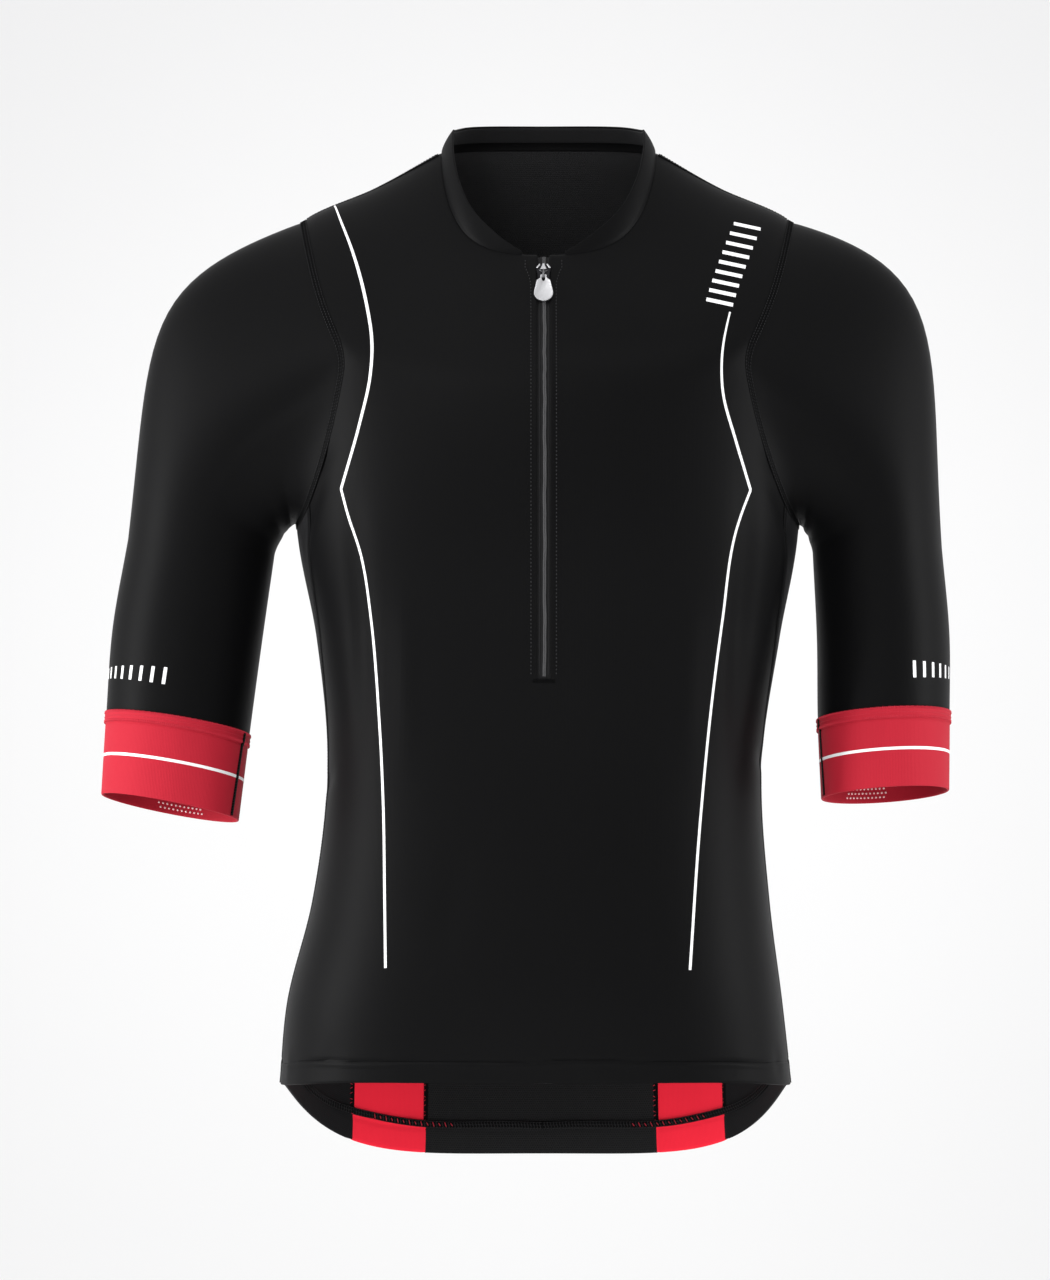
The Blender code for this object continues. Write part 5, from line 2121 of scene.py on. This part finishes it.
@dataclass
class Zip:
    """The half zip: tape with its closed coil, topstitching, bartack, slider and pull."""

    torso: Torso
    pattern: Pattern
    stitch: tuple
    top_up: float = 670.0
    below_slit: float = 6.0
    topstitch_across: float = 8.1
    topstitch_flare: float = 2.6
    slider_up: float = 645.0
    slider_width: float = 9.4
    slider_thickness: float = 1.7
    slider_lift: float = 0.3
    above_pin: float = 9.0
    below_pin: float = 3.6
    pin_clearance: float = 1.3
    bridge_radius: float = 2.7
    pull_length: float = 20.0
    pull_radius: float = 6.1
    pull_top_half: float = 3.3
    pull_neck_half: float = 2.0
    pull_thickness: float = 1.5
    pull_tilt: float = math.radians(6)

    def tape_depth(self, across: float, ridge: float) -> float:
        """How far behind the front the tape's face lies, in mm; "ridge" is 1 by the coil."""
        valley = 1.5
        rolled = 0.85 if abs(across) < 1.9 else valley
        return valley + (rolled - valley) * ridge

    def make_tape(self) -> None:
        """The tape behind the slit, with the two rolls of the closed coil."""
        foot = self.pattern.zip_foot_up
        ups = [foot - self.below_slit, foot - 1, foot + 1.5, foot + 3] + spread(
            foot + 6, self.top_up, 130)
        places = (-8, -6, -4.6, -4, -3.4, -2.9, -2.5, -2.2, -1.8, -1.4, -1.0, -0.6, -0.3, -0.12,
                  0.12, 0.3, 0.6, 1.0, 1.4, 1.8, 2.2, 2.5, 2.9, 3.4, 4, 4.6, 6, 8)
        points, normals, depths = [], [], []
        for up in ups:
            ridge = clamp((up - foot) / 3.0)
            sway = 0.22 * math.sin(up / 9.0) + 0.15 * math.sin(up / 3.7 + 1.0)
            moved = [p + (sway * ridge if abs(p) < 2.3 else 0.0) for p in places]
            turns = [self.torso.turn_for(across, up) for across in moved]
            out = [self.torso.normal(turn, up) for turn in turns]
            behind = [self.tape_depth(place, ridge) for place in places]
            points.append([self.torso.base(turn, up) - normal * depth * MM
                           for turn, normal, depth in zip(turns, out, behind)])
            normals.append(out)
            depths.append([2.5 - depth for depth in behind])
        sew("zip_tape_cloth", "zip_tape", Net(points, normals, depths), BLACK_TAPE,
            ["front_cloth"])

    def run_up(self, across: float, low: float, high: float, depth: float,
               pitch: float, sway: float = 0.0) -> list[Spot]:
        """A run up the zip, a number of mm to the right of its middle and behind the front."""
        samples = []
        for up in spread(low, high, int((high - low) / 2)):
            moved = across + sway * (math.sin(up / 9.0) + 0.6 * math.sin(up / 3.7 + 1.0))
            turn = self.torso.turn_for(moved, up)
            normal = self.torso.normal(turn, up)
            samples.append((self.torso.base(turn, up) - normal * depth * MM, normal))
        return run_of(samples, pitch)

    def make_coil(self) -> None:
        """The closed coil seen through the tape: two ribbed rolls and their teeth, painted pale
        grey as a painted highlight on the coil's ridge, and a bead at each edge.
        """
        foot = self.pattern.zip_foot_up
        for across, half, name in ((0.1, 0.52, "left"), (1.15, 0.52, "right")):
            profile = ((-half, -0.3), (-half, 0.15), (-half * 0.5, 0.4), (half * 0.5, 0.4),
                       (half, 0.15), (half, -0.3))
            spots = self.run_up(across, foot + 2, self.top_up, 0.85, 2.0, 0.16)
            dress(ribbon("zip_coil_" + name, spots, profile), COIL_HIGHLIGHT_THREAD)
        teeth = Scatter(self.stitch)
        for here in self.run_up(0.62, foot + 2.5, self.top_up - 1, 0.85, 1.1, 0.16):
            teeth.lay(here, (-1.0, 0.3), (-0.05, 0.42, 0.35), 0.5)
            teeth.lay(here, (0.05, 0.42, 0.2), (1.0, 0.3, 0.5), 0.5)
        dress(teeth.build("zip_teeth"), COIL_HIGHLIGHT_THREAD)
        bead = ((-0.22, -0.15), (-0.16, 0.16), (0.16, 0.16), (0.22, -0.15))
        for across, name in ((-2.7, "left"), (3.2, "right")):
            spots = self.run_up(across, foot + 3, self.top_up, 1.5, 2.0)
            dress(ribbon("zip_bead_" + name, spots, bead), GREY_THREAD)

    def topstitch(self) -> None:
        """The rows beside the slit, and the bartack across its foot."""
        scatter = Scatter(self.stitch)
        foot = self.pattern.zip_foot_up
        for sign in (-1, 1):
            samples = []
            for up in spread(foot + 4, self.top_up - 6, 150):
                flare = min(max((up - 632) / 20, 0.0), 1.2) ** 2 * self.topstitch_flare
                turn = self.torso.turn_for(sign * (self.topstitch_across + flare), up)
                samples.append((self.torso.point(turn, up), self.torso.normal(turn, up)))
            for here in run_of(samples, 2.45):
                scatter.lay(here, (0, 0.14, -0.55), (0, 0.14, 0.55), 0.7)
        dress(scatter.build("zip_topstitch"), GREY_THREAD)
        bartack = Scatter(self.stitch)
        for i in range(26):
            across = -7.0 + i * 14.0 / 25
            turn = self.torso.turn_for(across, foot - 1.2)
            normal = self.torso.normal(turn, foot - 1.2)
            low = self.torso.point(turn, foot - 2.0 + 0.3 * math.sin(i))
            high = self.torso.point(turn, foot + 0.2)
            bartack.stitch(low + normal * 0.2 * MM, high + normal * 0.25 * MM, normal, 0.55)
        dress(bartack.build("zip_bartack"), BLACK_THREAD)

    def fit(self, piece: Piece, name: str, finish: Finish, smooth: float, tilt: float = 0.0,
            body: str = GARMENT) -> Piece:
        """Finish a piece that was made round the pin in mm, with its face to -Y.

        Args:
            piece: the piece.
            name: its name.
            finish: its metal.
            smooth: the angle up to which it is smooth, in degrees.
            tilt: how far it hangs out from the chest, in radians.
            body: the body it rides on.

        Returns:
            The piece, at its place on the chest.
        """
        Bench.smooth(piece, smooth)
        piece.name = piece.data.name = name
        normal = self.torso.normal(0.0, self.slider_up)
        lift = (self.slider_lift + self.slider_thickness + self.pin_clearance) * MM
        pin = self.torso.base(0.0, self.slider_up) + normal * lift
        turn = Matrix.Rotation(tilt - math.atan2(normal.z, -normal.y), 4, "X")
        piece.data.transform(Matrix.Translation(pin) @ turn @ Matrix.Scale(MM, 4))
        piece.data.update()
        return dress(piece, finish, body)

    def make_slider(self) -> None:
        """The slider: a shaped body with side flanges, and the crown that holds the pull."""
        tall = self.above_pin + self.below_pin
        middle = (self.above_pin - self.below_pin) / 2
        behind = self.pin_clearance + self.slider_thickness / 2
        body = Bench.add("cube", size=1)
        Bench.edit_all(body, lambda: bpy.ops.mesh.subdivide(number_cuts=5, smoothness=0))

        def to_body(co: Vector) -> Vector:
            """The slider's outline: wide shoulders above, narrower at its foot."""
            share = co.z + 0.5
            narrow = 0.74 + 0.26 * math.sin(min(share, 1.0) * math.pi * 0.5)
            waist = 1 - 0.10 * hump(share - 0.42, 0.16)
            crown = 1 - 0.22 * max(share - 0.75, 0) * 4 * abs(co.x) * 2
            return Vector((co.x * self.slider_width * narrow * waist,
                           co.y * self.slider_thickness + behind,
                           (co.z * tall) * crown + middle))

        Bench.shape(body, to_body)
        Bench.edit(body, lambda face: face.normal.y < -0.9 and face.calc_center_median().y
                   < behind, lambda: (bpy.ops.mesh.inset(thickness=0.9),
                                      bpy.ops.transform.translate(value=(0, 0.35, 0))))
        Bench.bevel(body, 0.28, 40)
        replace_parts(self.fit(body, "slider_body", GUNMETAL, 35), "zip_slider")
        self.make_crown()

    def prong(self, foot: Place, tip: Place, at_foot: float,
              at_tip: float) -> Piece:
        """A raised bar on the slider's face, from foot to tip (across and above the pin, mm)."""
        run = Vector((tip[0] - foot[0], 0, tip[1] - foot[1]))
        bar = Bench.add("cube", size=1)
        Bench.edit_all(bar, lambda: bpy.ops.mesh.subdivide(number_cuts=2, smoothness=0))
        side = Vector((run.z, 0, -run.x)).normalized()
        start = Vector((foot[0], self.pin_clearance - 0.1, foot[1]))
        Bench.shape(bar, lambda co: (
            start + run * (co.z + 0.5) + Vector((0, co.y * 1.1, 0))
            + side * co.x * (at_foot + (at_tip - at_foot) * min(1.3 * (co.z + 0.5), 1.0))))
        face_out(bar)
        Bench.bevel(bar, 0.22, 50)
        return bar

    def arc(self, radius: float, wire: float, axis: str, place: Vector, cut_at: Vector,
            cut_to: Vector) -> Piece:
        """Part of a ring of wire, cut off where cut_to points away from cut_at."""
        turn = (0, math.pi / 2, 0) if axis == "X" else (math.pi / 2, 0, 0)
        ring = Bench.add("torus", major_radius=radius, minor_radius=wire, major_segments=40,
                         minor_segments=12, location=place, rotation=turn)
        Bench.cut(ring, cut_at, cut_to)
        return ring

    def make_crown(self) -> None:
        """The slider's trim: three raised bars and the bridge over the pull's pin. The bars are
        silver on the dark body, and the bridge and its smile mid grey: painted highlights where the
        crown's glints and its grey highlight line show, on raised trim.
        """
        bars = [self.prong((0, 4.7), (0, 9.1), 4.2, 1.3)]
        for sign in (-1, 1):
            bars.append(self.prong((sign * 4.3, 5.6), (sign * 2.3, 8.7), 1.0, 0.9))
        crown = Bench.join(bars, "slider_crown")
        self.fit(crown, "slider_crown", SILVER, 50)
        face = self.pin_clearance
        bridge = self.arc(self.bridge_radius, 0.72, "X", Vector((0, 0, 0)),
                          Vector((0, face + 0.9, 0)), Vector((0, -1, 0)))
        smile = self.arc(3.1, 0.34, "Y", Vector((0, face, 6.1)), Vector((0, 0, 4.1)),
                         Vector((0, 0, -1)))
        trim = Bench.join([bridge, smile], "slider_bridge")
        self.fit(trim, "slider_bridge", GREY_GLINT_METAL, 50)

    def pull_half_width(self, height: float) -> float:
        """Half the pull's width at a height below (minus) the pin: a neck, then a drop."""
        share = eased(clamp((-2.7 - height) / 2.3))
        return self.pull_neck_half + (self.drop_half_width(height) - self.pull_neck_half) * share

    def drop_half_width(self, height: float) -> float:
        """Half the drop's width at a height below (minus) the pin, in mm."""
        centre = -(self.pull_length - self.pull_radius)
        lean = math.asin((self.pull_radius - self.pull_top_half) / -centre)
        touch = centre + self.pull_radius * math.sin(lean)
        if height >= touch:
            side = self.pull_radius * math.cos(lean)
            return self.pull_top_half + (side - self.pull_top_half) * (height / touch)
        return math.sqrt(max(self.pull_radius ** 2 - (height - centre) ** 2, 0.0))

    def make_pull(self) -> None:
        """The pull: a drop-shaped plate with a raised rim, a sunk face and an eye."""
        top = -0.6
        foot = -self.pull_length
        plate = Bench.add("cylinder", vertices=72, radius=1.0, depth=self.pull_thickness,
                          rotation=(math.pi / 2, 0, 0))
        middle, half = (top + foot) / 2, (top - foot) / 2

        def to_drop(co: Vector) -> Vector:
            """From a disc to a drop: each height takes the drop's own width."""
            height = middle + half * co.z
            disc = math.sqrt(max(1 - co.z * co.z, 1e-6))
            limit = self.pull_half_width(height)
            rounded = limit * min(1.0, math.sqrt(max(top - height, 0.0) / 0.6 + 0.4))
            return Vector((co.x / disc * rounded, co.y, height))

        Bench.shape(plate, to_drop)
        for sign in (-1, 1):
            Bench.edit(plate, lambda face: face.normal.y * sign > 0.9,
                       lambda: (bpy.ops.mesh.inset(thickness=0.42),
                                bpy.ops.mesh.inset(thickness=0.2),
                                bpy.ops.transform.translate(value=(0, -0.2 * sign, 0))))
        eye = Bench.add("cylinder", vertices=24, radius=1.0, depth=6, location=(0, 0, -3.6),
                        rotation=(math.pi / 2, 0, 0), scale=(1.1, 1.85, 1.0))
        Bench.modify(plate, "BOOLEAN", operation="DIFFERENCE", object=eye, solver="EXACT")
        bpy.data.objects.remove(eye, do_unlink=True)
        Bench.bevel(plate, 0.16, 35)
        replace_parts(self.fit(plate, "pull_plate", SILVER, 40, self.pull_tilt, PULL_BODY),
                    "zip_pull")

    def make(self) -> None:
        """Make the whole zip."""
        self.make_tape()
        self.make_coil()
        self.topstitch()
        self.make_slider()
        self.make_pull()


# ---- studio

LAMPS = (
    # name, place and size in metres, power in watts
    ("key", (-1.6, -3.4, 1.8), (1.2, 1.2), 30),
    ("left_strip", (-2.6, -0.6, -0.1), (0.6, 1.6), 70),
    ("right_strip", (2.6, -0.5, -0.1), (0.5, 1.3), 40),
    ("top", (0.0, 0.4, 2.4), (1.6, 1.6), 8),
    ("neck_fill", (-0.5, -1.3, 1.1), (0.8, 0.8), 5),
    ("low_fill", (0.0, -1.9, -1.3), (1.6, 0.5), 9),
)


@dataclass
class Studio:
    """A pale seamless studio with soft light, and the photograph's camera."""

    floor_z: float = -1.45
    radius: float = 7.5
    wall: float = 6.0
    fillet: float = 2.5
    white: float = 0.36
    glow: float = 0.64
    air: float = 0.95

    def make_cove(self) -> None:
        """A round floor that curves up into a wall on all sides."""
        cove = Bench.add("circle", vertices=96, radius=self.radius - self.fillet,
                         fill_type="NGON", location=(0, 0, self.floor_z))
        cove.name = cove.data.name = "studio_cove"
        bm = bmesh.new()
        bm.from_mesh(cove.data)
        ring = list(bm.edges)
        last, height = self.radius - self.fillet, 0.0
        bend = [(self.radius - self.fillet * (1 - math.sin(angle)),
                 self.fillet * (1 - math.cos(angle)))
                for angle in spread(0, math.pi / 2, 10)[1:]]
        for reach, rise in bend + [(self.radius, self.wall)]:
            extruded = bmesh.ops.extrude_edge_only(bm, edges=ring)["geom"]
            verts = [item for item in extruded if isinstance(item, bmesh.types.BMVert)]
            ring = [item for item in extruded if isinstance(item, bmesh.types.BMEdge)
                    and all(vert in verts for vert in item.verts)]
            for vert in verts:
                vert.co.x *= reach / last
                vert.co.y *= reach / last
                vert.co.z += rise - height
            last, height = reach, rise
        bm.to_mesh(cove.data)
        bm.free()
        cove.data.shade_smooth()
        paint = Paint("studio paper")
        cloud = paint.noise(0.6)
        place = paint.add("ShaderNodeSeparateXYZ", values={0: paint.object_place()})
        across, up = Level(paint, place.outputs[0]), Level(paint, place.outputs[2]) + 0.32
        # Painted light: the paper's glow is brightest round the garment and dimmer further out, a
        # painted pool of light.
        away = (across * across + up * up).power(0.5).between(0.3, 2.2)
        paint.set(Base_Color=paint.mix(cloud, (self.white, self.white, self.white * 1.005),
                                       (self.white + 0.02,) * 3),
                  Emission_Color=paint.mix(away, (1.0, 1.0, 1.0), (0.77, 0.77, 0.775)),
                  Roughness=0.9, Specular_IOR_Level=0.1, Emission_Strength=self.glow)
        cove.data.materials.append(paint.material)
        cove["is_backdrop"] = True

    def light(self, name: str, place: tuple[float, float, float], size: Place,
              power: float) -> None:
        """A soft box that faces the garment.

        Args:
            name: the light's name.
            place: where it stands, in metres.
            size: its width and height, in metres.
            power: its power, in watts.
        """
        lamp = bpy.data.lights.new(name, "AREA")
        lamp.shape = "RECTANGLE"
        lamp.size, lamp.size_y = size
        lamp.energy = power
        box = bpy.data.objects.new(name, lamp)
        box.location = place
        aim = Vector((0, 0, -0.32)) - Vector(place)
        box.rotation_euler = aim.to_track_quat("-Z", "Y").to_euler()
        bpy.context.scene.collection.objects.link(box)

    def camera(self) -> None:
        """The photograph's camera."""
        view = bpy.data.cameras.new("photo_camera")
        view.sensor_fit = "VERTICAL"
        view.sensor_height = SIGHT.sensor
        view.lens = SIGHT.lens()
        view.clip_end = 40
        stand = bpy.data.objects.new("photo_camera", view)
        stand.location = SIGHT.eye * MM
        stand.rotation_euler = (math.pi / 2, 0, 0)
        bpy.context.scene.collection.objects.link(stand)
        bpy.context.scene.camera = stand

    def make(self) -> None:
        """Set up floor, light and camera."""
        self.make_cove()
        world = bpy.data.worlds.new("studio air")
        world.use_nodes = True
        air = world.node_tree.nodes["Background"]
        air.inputs["Color"].default_value = (1.0, 1.0, 1.0, 1.0)
        air.inputs["Strength"].default_value = self.air
        bpy.context.scene.world = world
        for lamp in LAMPS:
            self.light(*lamp)
        bpy.context.scene.view_settings.view_transform = "Standard"
        self.camera()


# ---- the whole garment

def main() -> None:
    """Make every piece, in the order that a maker would."""
    logging.basicConfig(level=logging.INFO, format="%(name)s: %(message)s")
    torso = Torso()
    pattern = Pattern(torso)
    neck = Neck(torso)
    sleeves = {side: Sleeve(Arm(side, torso, pattern)) for side in Side}
    Studio().make()
    panels = Panels(torso, pattern, neck)
    panels.make()
    for sleeve in sleeves.values():
        sleeve.make()
    Collar(neck).make()
    sewing = Sewing(torso, pattern, neck, sleeves)
    sewing.make()
    Prints(torso, sleeves).make()
    Zip(torso, pattern, sewing.stitch).make()
    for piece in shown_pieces():
        LOG.info("piece %s: %d faces", piece.name, len(piece.data.polygons))


if __name__ == "__main__":
    main()
